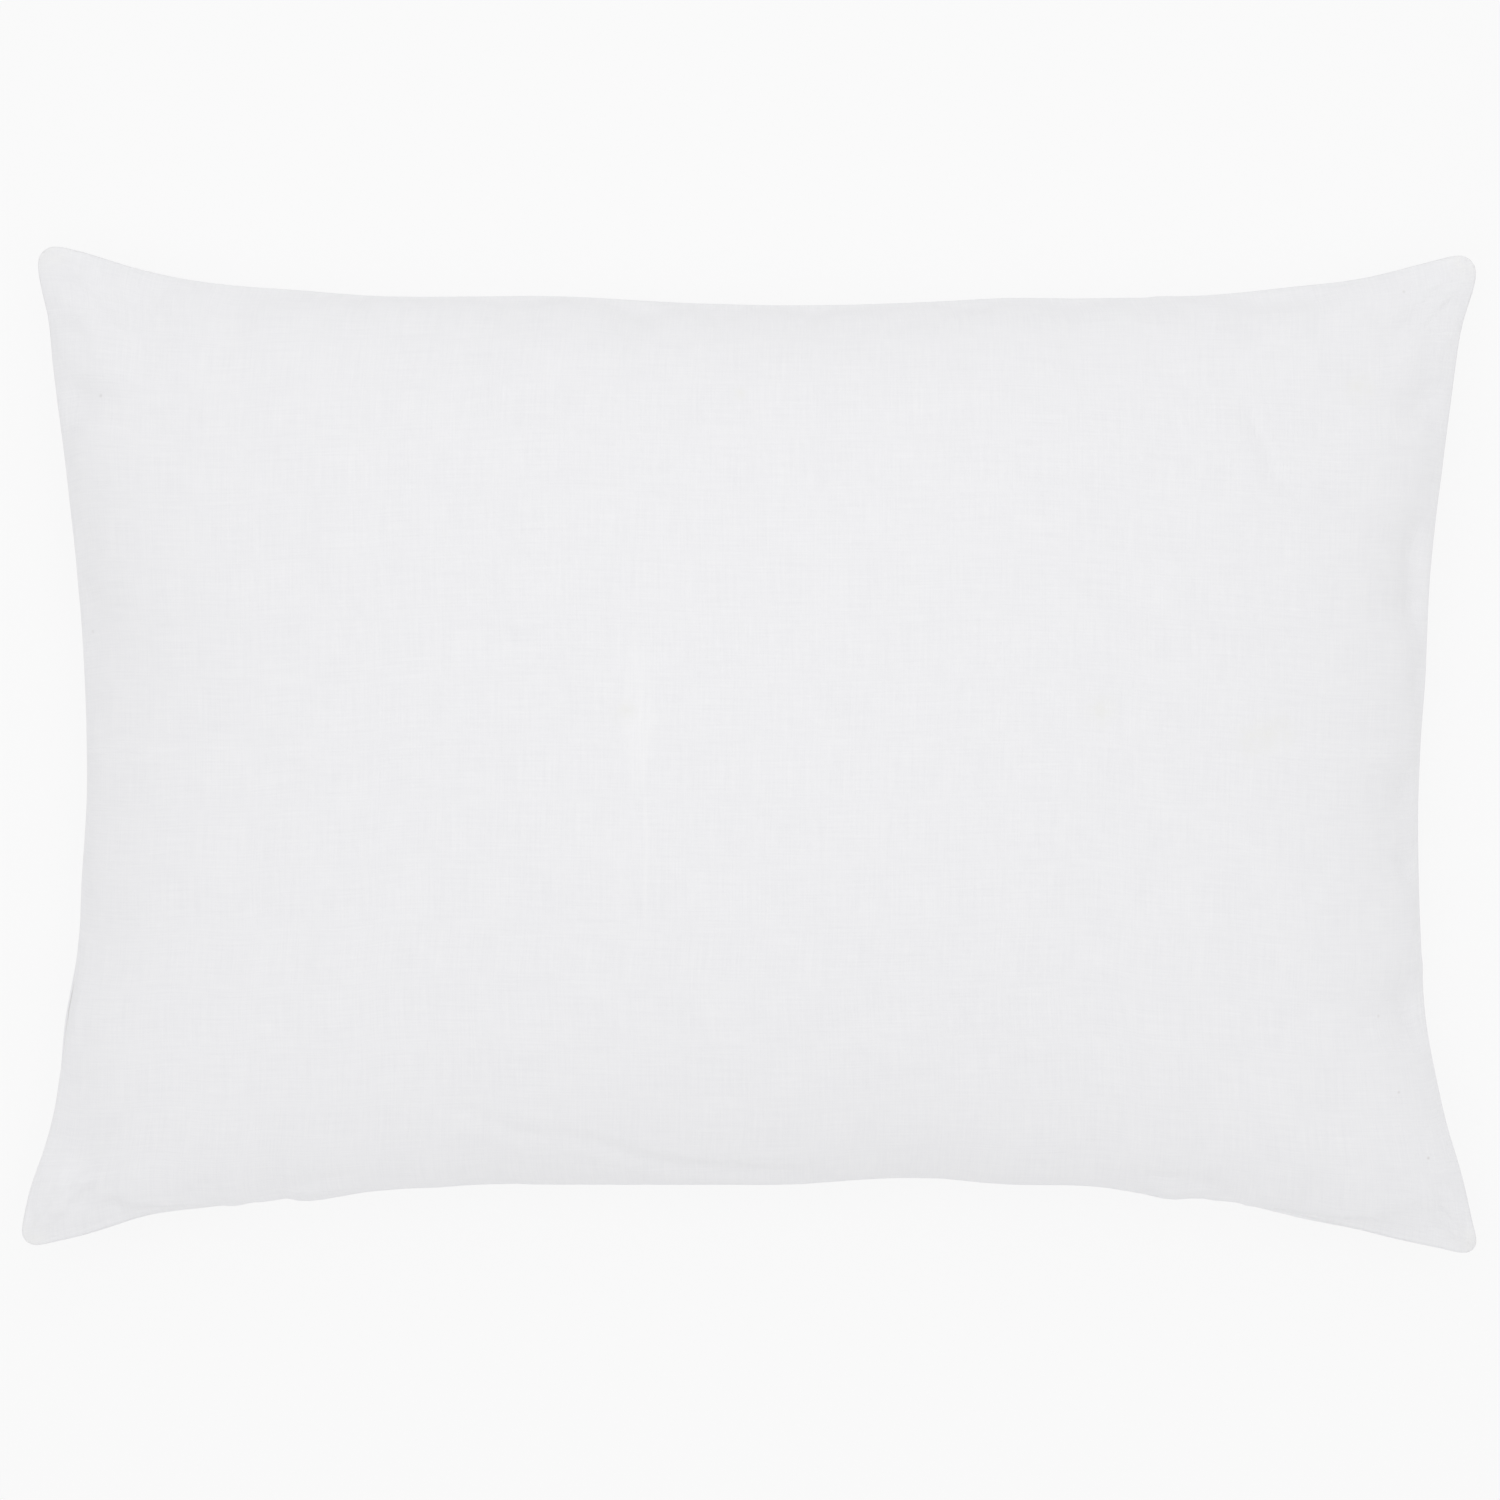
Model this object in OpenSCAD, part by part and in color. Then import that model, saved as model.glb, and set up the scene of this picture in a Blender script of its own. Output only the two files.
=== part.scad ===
// Bed pillow: a zip-off linen cover over a filled cotton insert, in millimetres.
// The pillow lies on its back. X runs along its length, Y across it, and Z is up.
// The origin is at the centre of the flat patch that it rests on.
// The zip is in the seam of the -Y side.

/* [Pillow] */
// Distance between the two left corner points of the seam and the two right ones
length = 696; // [600:1:800]
// Distance between the two lower corner points of the seam and the two upper ones
width = 483; // [400:1:600]
// Height of the seam line above the surface that the pillow rests on
seam_height = 77; // [60:1:90]
// Height of the crown above the seam line
crown = 91; // [70:1:110]
// How far the upper side pulls in between its corners
pull_top = 28; // [10:1:45]
// How far the side with the zip pulls in between its corners
pull_bottom = 39.5; // [10:0.5:45]
// How far each short side pulls in between its corners
pull_side = 31.5; // [10:0.5:45]
// How far the corners droop below the seam line of the long sides
corner_droop = 14; // [0:1:25]
// Share of the underside, from its centre outwards, that lies flat
flat_share = 0.45; // [0.2:0.05:0.6]

/* [Cover] */
// Thickness of the linen
linen = 0.6; // [0.4:0.1:1]
// Width of the seam allowance that is turned in
allowance = 7; // [6:0.5:9]
// Gap between the two folded edges along the zip
zip_gap = 1.8; // [1.6:0.1:2.2]

/* [Insert] */
// Thickness of the insert's cotton
ticking = 0.4; // [0.3:0.1:0.6]
// Space between the cover and the insert, over and under it
cover_gap = 1.5; // [1:0.1:3]
// Distance from the cover's edge to the insert's edge
insert_inset = 11.9; // [11.5:0.1:16]
// Radius of the corded edge
piping_r = 1.4; // [1:0.1:1.6]
// Space between the insert's cotton and its filling
fill_gap = 0.8; // [0.5:0.1:2]

/* [Zip] */
// Width of each tape, from the line where the edges meet
tape_width = 13; // [10:0.5:14]
// How far the slider travels along the zip
slider_travel = 280; // [180:1:285]
// Length of the slider's body along the zip
slider_length = 9; // [8:0.5:10]
// Length of the pull from its pin to its rounded end
pull_length = 27; // [18:1:32]
// Width of the pull
pull_width = 5.2; // [4:0.1:6]
// Radius of the pin that the pull turns on
pin_r = 0.8; // [0.6:0.05:0.9]

/* [Hidden] */
$fn = 32;
// Space between the slider and the stop at either end of its travel
stop_gap = 2;
// Length of the coils from stop to stop
zip_length = slider_travel + slider_length + 2 * stop_gap;

// ---- Outline -------------------------------------------------------------------------
// The four seam corners before rounding, counter-clockwise from the lower right. The real
// pillow isn't quite square: each corner sits a few millimetres off the plain rectangle.
CORNERS = [
    [length / 2 + 2.8, -width / 2 - 1.9],
    [length / 2, width / 2 - 2.2],
    [-length / 2 + 5.5, width / 2 + 1.6],
    [-length / 2 - 2.8, -width / 2 + 2]
];
// Sides in the same order: right, top, left, bottom
INWARD = [[-1, 0], [0, -1], [1, 0], [0, 1]];
PULLS = [pull_side, pull_top, pull_side, pull_bottom];
// How sharply each side turns out towards its corners
POWERS = [2.2, 3.1, 2.1, 1.5];
// The short sides pull in most a little below their middles
SKEWS = [0.12, 0, -0.12, 0];
// Straight stretch in the middle of the zip side, as a share of half its length
FLATS = [0, 0, 0, 0.44];
// Length of each side that the rounding of a corner takes up
corner_cut = 13;
// Where the points of a side lie, from its middle to its rounded end
LONG_HALF = [0.22, 0.42, 0.47, 0.58, 0.7, 0.82, 0.9];
SHORT_HALF = [0.2, 0.4, 0.6, 0.76, 0.87];
CORNER_STEPS = 4;

function mix(a, b, t) = a + (b - a) * t;
function clamp(x) = min(max(x, 0), 1);
// A corner moves in along both sides by a little more than the inset, since it is pointed
function inset_corner(i, inset) =
    CORNERS[i] - 1.35 * inset * [sign(CORNERS[i].x), sign(CORNERS[i].y)];
function side_length(i) = i % 2 == 0 ? width : length;
function side_end(i) = 1 - 2 * corner_cut / side_length(i);
// 0 at the middle of side i, 1 at its corners
function skewed(i, w) = w + SKEWS[i] * (1 - w * w);
function bow(i, w) = pow(max(0, (abs(skewed(i, w)) - FLATS[i]) / (1 - FLATS[i])), POWERS[i]);
// A side runs evenly from corner a to corner b, and bows out to the nearer one of them from
// its middle line
function side_point(i, w, inset) =
    let (a = inset_corner(i, inset),
         b = inset_corner((i + 1) % 4, inset),
         middle = (a + b) / 2 + INWARD[i] * (PULLS[i] - 0.35 * inset),
         bowed = mix(middle, skewed(i, w) < 0 ? a : b, bow(i, w)),
         even = mix(a, b, (w + 1) / 2))
    i % 2 == 0 ? [bowed.x, even.y] : [even.x, bowed.y];
function half_steps(i) = i % 2 == 0 ? SHORT_HALF : LONG_HALF;
function reversed(list) = [for (j = [len(list) - 1:-1:0]) list[j]];
// Every place on side i, from its start to its end
function side_steps(i) = concat(
    [-side_end(i)], [for (h = reversed(half_steps(i))) -h], [0], half_steps(i), [side_end(i)]
);
function rounded_corner(i, t, inset) =
    let (next = (i + 1) % 4,
         a = side_point(i, side_end(i), inset),
         k = inset_corner(next, inset),
         b = side_point(next, -side_end(next), inset))
    (1 - t) * (1 - t) * a + 2 * t * (1 - t) * k + t * t * b;

// The whole outline, inset from the cover's edge by a distance for each point
function outline_at(insets) =
    let (flat_list = [for (i = [0:3]) for (j = [0:side_count(i) - 1]) [i, j]])
    [for (n = [0:len(flat_list) - 1]) outline_point(flat_list[n][0], flat_list[n][1], insets[n])];
function side_count(i) = len(side_steps(i)) + CORNER_STEPS - 1;
function outline_point(i, j, inset) =
    let (steps = side_steps(i), n = len(steps))
    j < n ? side_point(i, steps[j], inset)
          : rounded_corner(i, (j - n + 1) / CORNER_STEPS, inset);
function outline(inset) = outline_at([for (n = [1:POINTS]) inset]);
// The same points on a square of half side 1, whose sides run the way OUT points
OUT = [[1, 0], [0, 1], [-1, 0], [0, -1]];
function square_point(i, w) = OUT[i] + OUT[(i + 1) % 4] * w;
function square_corner(i, t) =
    t < 0.5 ? square_point(i, mix(side_end(i), 1, 2 * t))
            : square_point((i + 1) % 4, mix(-1, -side_end(i + 1), 2 * t - 1));
SQUARE = [
    for (i = [0:3]) let (steps = side_steps(i), n = len(steps))
    for (j = [0:side_count(i) - 1])
    j < n ? square_point(i, steps[j]) : square_corner(i, (j - n + 1) / CORNER_STEPS)
];
// How near to a corner each point lies: 0 at the middle of a side, 1 at a corner
NEAR = [for (p = SQUARE) min(abs(p.x), abs(p.y))];
POINTS = len(SQUARE);
EDGE = outline(0);
// 1 along the zip and 0 elsewhere, with a short run between
function along_zip(p, reach) = p.y < 0 && abs(p.x) < length / 3 ? clamp((reach - abs(p.x)) / 8) : 0;
HALF_GAP = [for (p = EDGE) mix(0.1, zip_gap / 2, along_zip(p, zip_length / 2 + 14))];
DROOP = [for (k = NEAR) corner_droop * pow(clamp((k - 0.45) / 0.55), 2)];

// ---- Surfaces ------------------------------------------------------------------------
// Height of a panel at s, from 1 at the centre to 0 at the seam. A corner is thinner than
// the middle of a side, so near tells how close to a corner the direction points.
function swell(s, near, p, q) = pow(1 - pow(s, p), q) * pow(1 - pow(s * near, p), q);
// How far out of the flat middle s is
function past_flat(s) = clamp((s - flat_share) / (1 - flat_share));
function seam_z(n, s) = seam_height - DROOP[n] * pow(past_flat(s), 2);
// Height of a point of the upper or the lower panel. rise is the height at its rim, counted
// from the seam line, and cut is how much lower its crown is than the cover's.
function upper_z(n, s, rise, cut) =
    seam_z(n, s) + rise + (crown - cut - rise) * swell(s, NEAR[n], 2.4, 0.6);
function lower_z(n, s, rise, cut) =
    seam_z(n, s) - rise - (seam_height - cut - rise) * swell(past_flat(s), NEAR[n], 2.1, 0.52);
function panel_z(up, n, s, rise, cut) = up ? upper_z(n, s, rise, cut) : lower_z(n, s, rise, cut);
// Half the length and width of the pillow between the middles of its sides
MIDDLE = [length / 2 - pull_side, width / 2 - (pull_top + pull_bottom) / 2];
// One ring of points at s, on a surface whose rim has the outline rim at an inset. Rings are
// plain rectangles near the centre, and take on the rim's corners as they near it.
function ring(up, s, rim, inset, rises, cut) = [
    for (n = [0:POINTS - 1])
    let (box = MIDDLE - [inset, inset],
         flat = [SQUARE[n].x * box.x, SQUARE[n].y * box.y],
         p = mix(flat, rim[n], s * s) * s)
    [p.x, p.y, panel_z(up, n, s, rises[n], cut)]
];
// One ring at the seam, at a height above it on the upper panel or below it on the lower
function rim_ring(up, rim, rises) = [
    for (n = [0:POINTS - 1]) [rim[n].x, rim[n].y, seam_z(n, 1) + (up ? 1 : -1) * rises[n]]
];
// Where rings lie between the centre and the seam, closer together towards the seam
ring_count = 9;
PLACES = [for (j = [1:ring_count]) 1 - pow(1 - j / ring_count, 2.4)];

// A closed solid from a point, a stack of rings and a last point. flip turns it inside out.
module stacked(first, rings, last, flip = false) {
    points = concat([first], [for (r = rings) for (p = r) p], [last]);
    end = len(points) - 1;
    function at(r, n) = 1 + r * POINTS + n % POINTS;
    faces = concat(
        [for (n = [0:POINTS - 1]) [0, at(0, n + 1), at(0, n)]],
        [for (r = [0:len(rings) - 2]) for (n = [0:POINTS - 1])
            each [[at(r, n), at(r, n + 1), at(r + 1, n)],
                  [at(r, n + 1), at(r + 1, n + 1), at(r + 1, n)]]],
        [for (n = [0:POINTS - 1]) [end, at(len(rings) - 1, n), at(len(rings) - 1, n + 1)]]
    );
    polyhedron(points, flip ? [for (f = faces) [f[0], f[2], f[1]]] : faces);
}

// Near a corner the cloth is almost level, so its inner surface starts further in
function corner_insets(inset) = [for (k = NEAR) inset + 4 * pow(k, 8)];

// A cloth panel: an outer surface, a turned-in edge at the seam, and an inner surface
module panel(up, rim_inset, cut, thickness, fold, rises) {
    outer_rim = outline(rim_inset);
    inner_inset = rim_inset + thickness + 0.3;
    inner_rim = outline_at(corner_insets(inner_inset));
    fold_rim = outline_at([for (f = fold) rim_inset + f]);
    tops = [for (r = rises) r + thickness];
    crown_z = panel_z(up, 0, 0, rises[0], cut);
    inner_z = panel_z(up, 0, 0, tops[0], cut + thickness);
    stacked(
        [0, 0, crown_z],
        concat(
            [for (s = PLACES) ring(up, s, outer_rim, rim_inset, rises, cut)],
            [rim_ring(up, fold_rim, rises), rim_ring(up, fold_rim, tops)],
            [for (s = reversed(PLACES)) ring(up, s, inner_rim, inner_inset, tops, cut + thickness)]
        ),
        [0, 0, inner_z],
        flip = !up
    );
}

// A round tube that follows the outline at an inset, through points first to last
module edge_tube(inset, radius, sides, first, last) {
    path = outline(inset);
    closed = last - first >= POINTS;
    count = closed ? POINTS : last - first + 1;
    function at(n, j) = (closed ? n % count : n) * sides + j % sides;
    rings = [
        for (m = [0:count - 1])
        let (n = (first + m) % POINTS,
             along = path[(n + 1) % POINTS] - path[(n + POINTS - 1) % POINTS],
             out = [along.y, -along.x] / norm(along))
        for (j = [0:sides - 1])
        let (a = 360 * j / sides)
        [path[n].x + out.x * radius * cos(a), path[n].y + out.y * radius * cos(a),
         seam_z(n, 1) + radius * sin(a)]
    ];
    walls = [
        for (n = [0:(closed ? count : count - 1) - 1]) for (j = [0:sides - 1])
        each [[at(n, j), at(n, j + 1), at(n + 1, j)],
              [at(n, j + 1), at(n + 1, j + 1), at(n + 1, j)]]
    ];
    caps = closed ? [] : [
        for (j = [1:sides - 2]) each [
            [at(0, 0), at(0, j + 1), at(0, j)],
            [at(count - 1, 0), at(count - 1, j), at(count - 1, j + 1)]
        ]
    ];
    polyhedron(rings, concat(walls, caps));
}

// ---- Cover ---------------------------------------------------------------------------
// The allowance is turned in everywhere but along the zip, where it is folded back on itself
COVER_FOLD = [for (p = EDGE) mix(allowance, linen + 0.5, along_zip(p, zip_length / 2 + 22))];
// First and last point of the sewn seam, which runs round from one end of the zip to the other
bottom_start = side_count(0) + side_count(1) + side_count(2);
bottom_steps = side_steps(3);
seam_end = 0.47;
ZIP_ENDS = [
    for (j = [0:len(bottom_steps) - 1]) if (abs(bottom_steps[j]) == seam_end) bottom_start + j
];

module cover_front() {
    color("whitesmoke") panel(true, 0, 0, linen, COVER_FOLD, HALF_GAP);
}

module cover_back() {
    color("whitesmoke") panel(false, 0, 0, linen, COVER_FOLD, HALF_GAP);
}

module cover_seam_thread() {
    color("white") edge_tube(1.2, 0.3, 4, ZIP_ENDS[1], ZIP_ENDS[0] + POINTS);
}

module cover_overlock_thread() {
    color("white") edge_tube(allowance + 0.45, 0.35, 4, ZIP_ENDS[1], ZIP_ENDS[0] + POINTS);
}

// ---- Zip -----------------------------------------------------------------------------
// The zip's own frame: X along it, depth into the pillow from the folded edges, and height
// above the line where they meet.
edge_y = side_point(3, 0, 0).y;
coil_depth = 3.7;
coil_height = 1.6;
coil_r = 0.9;
stop_length = 2.6;
tape_depth = 4.6;
tape_t = 0.4;
tape_bend = 3.9;
tape_half = zip_length / 2 + 11;
plate_t = 0.9;
front_plate_depth = 1.4;
back_plate_depth = 5.4;
slider_half_width = 3.4;
neck_t = 1.2;
pin_depth = -2.2;
eye_r = 1.7;
pin_clearance = 0.05;
cheek_t = 0.9;
cheek_gap = 0.2;
cheek_r = 1.4;
pull_t = 1.4;
// Place of the slider's middle when the zip is closed
slider_x = slider_travel / 2;

module zip_frame() { translate([0, edge_y, seam_height]) children(); }

// A strip of one cross-section along X. The section is a list of [depth, height].
module along_x(from, to, section) {
    translate([from, 0, 0]) rotate([90, 0, 90]) linear_extrude(to - from) polygon(section);
}

// A tape lies under its coil, then leans out to the panel and lies against it. side is 1 for
// the front panel's tape and -1 for the back's.
module zip_tape(side) {
    centre_line = [[tape_depth, 0.95], [tape_depth, tape_bend], [3, 7], [4.6, tape_width]];
    section = concat(centre_line, [for (p = reversed(centre_line)) p + [tape_t, 0]]);
    zip_frame() along_x(-tape_half, tape_half, [for (p = section) [p.x, side * p.y]]);
}

module zip_coil(side) {
    half = zip_length / 2;
    zip_frame() translate([-half, coil_depth, side * coil_height])
        rotate([0, 90, 0]) cylinder(r = coil_r, h = 2 * half);
}

module zip_stop(x, low, high) {
    zip_frame() translate([x, coil_depth - 1.1, low]) cube([stop_length, 1.9, high - low]);
}

module zip_tape_front() { color("snow") zip_tape(1); }
module zip_tape_back() { color("snow") zip_tape(-1); }
module zip_coil_front() { color("ghostwhite") zip_coil(1); }
module zip_coil_back() { color("ghostwhite") zip_coil(-1); }

module zip_top_stops() {
    color("gainsboro") for (low = [0.6, -2.9]) zip_stop(zip_length / 2 + 0.1, low, low + 2.3);
}

module zip_bottom_stop() {
    color("gainsboro") zip_stop(-zip_length / 2 - 0.1 - stop_length, -2.9, 2.9);
}

// A row of thread along each tape, and a bar tack across both at each end
module zip_stitching() {
    thread_r = 0.25;
    row_height = 4.6;
    tack_half = 3.6;
    color("white") zip_frame() {
        for (side = [-1, 1])
            translate([-tape_half + 2, tape_depth + tape_t + 0.05, side * row_height])
                rotate([0, 90, 0]) cylinder(r = thread_r, h = 2 * tape_half - 4);
        for (x = [3 - tape_half, tape_half - 3])
            translate([x, tape_depth + tape_t + thread_r + 0.02, -tack_half])
                cylinder(r = thread_r, h = 2 * tack_half);
    }
}

// A flat rectangle with rounded corners
module rounded_plate(half_length, half_width, r) {
    square([2 * half_length, 2 * (half_width - r)], center = true);
    square([2 * (half_length - r), 2 * half_width], center = true);
    for (x = [-1, 1]) for (y = [-1, 1])
        translate([x * (half_length - r), y * (half_width - r)]) circle(r = r);
}

// The slider's body holds the coils between two plates that a post joins. Its neck stands out
// between the folded edges and ends in an eye for the pull's pin.
module zip_slider() {
    post_length = 2.5;
    flange_height = 0.5;
    flange_depth = 4.2;
    plate_bottom = front_plate_depth + plate_t;
    color("white") zip_frame() translate([slider_x, 0, 0]) {
        difference() {
            union() {
                for (depth = [front_plate_depth, back_plate_depth])
                    translate([0, depth + plate_t, 0]) rotate([90, 0, 0]) linear_extrude(plate_t)
                        rounded_plate(slider_length / 2, slider_half_width, 1.6);
                for (low = [-slider_half_width, slider_half_width - flange_height])
                    translate([2 - slider_length / 2, plate_bottom - 0.1, low])
                        cube([slider_length - 4, flange_depth - plate_bottom + 0.1, flange_height]);
                translate([slider_length / 2 - post_length - 0.5, plate_bottom - 0.1, -0.4])
                    cube([post_length, back_plate_depth - plate_bottom + 0.2, 0.8]);
                translate([0, pin_depth, -neck_t / 2]) cylinder(r = eye_r, h = neck_t);
                translate([-eye_r, pin_depth, -neck_t / 2])
                    cube([2 * eye_r, front_plate_depth - pin_depth + 0.1, neck_t]);
            }
            translate([0, pin_depth, -neck_t]) cylinder(r = pin_r + pin_clearance, h = 2 * neck_t);
        }
    }
}

// Two cheeks and a pin hold the pull on the neck. Its blade lies back along the closed zip.
module zip_pull() {
    cheek_low = neck_t / 2 + cheek_gap;
    blade_start = 3.2;
    slot_r = 1.1;
    slot_length = 9;
    end_r = pull_width / 2;
    slot_start = -pull_length + end_r + 0.4;
    color("white") zip_frame() translate([slider_x, pin_depth, 0]) {
        translate([0, 0, -cheek_low - cheek_t]) cylinder(r = pin_r, h = 2 * (cheek_low + cheek_t));
        for (low = [cheek_low, -cheek_low - cheek_t]) translate([0, 0, low]) {
            cylinder(r = cheek_r, h = cheek_t);
            translate([-blade_start - 0.1, -pull_t / 2, 0]) cube([blade_start + 0.1, pull_t, cheek_t]);
        }
        translate([0, pull_t / 2, 0]) rotate([90, 0, 0]) linear_extrude(pull_t) difference() {
            union() {
                translate([-pull_length + end_r, -end_r])
                    square([pull_length - end_r - blade_start, 2 * end_r]);
                translate([-pull_length + end_r, 0]) circle(r = end_r);
            }
            for (x = [0, slot_length]) translate([slot_start + x, 0]) circle(r = slot_r);
            translate([slot_start, -slot_r]) square([slot_length, 2 * slot_r]);
        }
    }
}

// ---- Labels --------------------------------------------------------------------------
// A blank woven label hangs inside the cover, beyond the zip's left end
module care_label() {
    start = side_point(3, -0.62, 0);
    color("white") translate([start.x, start.y + 9, seam_height - 20])
        rotate([0, 0, 8]) cube([34, 0.4, 16]);
}

// A blank label lies in the insert's seam, at its left end
module insert_label() {
    left_edge = side_point(2, 0, 0).x;
    color("white") translate([left_edge + 8, -40, seam_height - 15]) cube([0.4, 42, 12]);
}

// ---- Insert --------------------------------------------------------------------------
NO_GAP = [for (n = [1:POINTS]) 0.1];
TICKING_FOLD = [for (n = [1:POINTS]) ticking + 0.5];
ticking_cut = linen + cover_gap;

module ticking_front() {
    color("ivory") panel(true, insert_inset, ticking_cut, ticking, TICKING_FOLD, NO_GAP);
}

module ticking_back() {
    color("ivory") panel(false, insert_inset, ticking_cut, ticking, TICKING_FOLD, NO_GAP);
}

module ticking_piping() {
    color("ivory") edge_tube(insert_inset - piping_r - 0.2, piping_r, 6, 0, POINTS);
}

module ticking_seam_thread() {
    color("white") edge_tube(insert_inset + 1.2, 0.25, 4, 0, POINTS);
}

module fill() {
    cut = ticking_cut + ticking + fill_gap;
    inset = insert_inset + 1.7;
    rim = outline_at(corner_insets(inset));
    inner = [for (s = reversed(PLACES)) if (s < 1) s];
    color("white") stacked(
        [0, 0, panel_z(true, 0, 0, 0, cut)],
        concat(
            [for (s = PLACES) ring(true, s, rim, inset, NO_GAP, cut)],
            [for (s = inner) ring(false, s, rim, inset, NO_GAP, cut)]
        ),
        [0, 0, panel_z(false, 0, 0, 0, cut)]
    );
}

cover_front();
cover_back();
cover_seam_thread();
cover_overlock_thread();
zip_tape_front();
zip_tape_back();
zip_coil_front();
zip_coil_back();
zip_top_stops();
zip_bottom_stop();
zip_stitching();
zip_slider();
zip_pull();
care_label();
ticking_front();
ticking_back();
ticking_piping();
ticking_seam_thread();
insert_label();
fill();
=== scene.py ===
import math

import bpy
import numpy as np
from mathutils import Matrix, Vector, noise
from mathutils.bvhtree import BVHTree


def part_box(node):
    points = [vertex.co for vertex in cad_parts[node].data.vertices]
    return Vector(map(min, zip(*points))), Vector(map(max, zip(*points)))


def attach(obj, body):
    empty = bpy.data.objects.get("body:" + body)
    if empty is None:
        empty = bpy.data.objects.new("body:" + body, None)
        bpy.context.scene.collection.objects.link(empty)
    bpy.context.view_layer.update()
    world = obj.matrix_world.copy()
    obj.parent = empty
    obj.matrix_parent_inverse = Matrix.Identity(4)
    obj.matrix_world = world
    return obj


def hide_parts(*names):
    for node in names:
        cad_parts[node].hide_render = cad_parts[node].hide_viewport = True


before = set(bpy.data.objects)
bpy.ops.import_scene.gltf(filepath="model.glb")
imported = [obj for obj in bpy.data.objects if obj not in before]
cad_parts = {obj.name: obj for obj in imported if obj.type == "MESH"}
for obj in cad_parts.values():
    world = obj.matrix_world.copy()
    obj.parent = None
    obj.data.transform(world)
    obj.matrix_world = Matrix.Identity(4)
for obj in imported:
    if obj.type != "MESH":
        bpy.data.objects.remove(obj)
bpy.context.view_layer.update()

MM = 0.001


def cad_box(node):
    """Lowest and highest corner of a CAD node, in millimetres."""
    low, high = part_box(node)
    return np.array(low) / MM, np.array(high) / MM


# ---- Dimensions that the CAD model is built to ---------------------------------------------
LENGTH, WIDTH = 696, 483
SLIDER_LOW, SLIDER_HIGH = cad_box("zip_slider")
SEAM_Z = (SLIDER_LOW[2] + SLIDER_HIGH[2]) / 2
CROWN = cad_box("cover_front")[1][2] - SEAM_Z
CORNER_DROOP = 14
ZIP_HALF = cad_box("zip_coil_front")[1][0]
LINEN = 0.6
TICKING = 0.4
ALLOWANCE = 7
ZIP_HALF_GAP = 0.75
INSERT_INSET = 11.9
# The linen was cut to this size for each panel, without its seam allowance
CUT_LENGTH, CUT_WIDTH = 700, 500
# The insert's panels were cut to this size
INSERT_CUT = (680, 480)
# Powers that shape how the upper and the lower half rise from the seam
UPPER_SWELL, LOWER_SWELL = (2.4, 0.6), (2.1, 0.52)
# How far below the floor the lower half would hang, and how softly it flattens on the floor
HANG, FLATTENING = 12, 9


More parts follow.
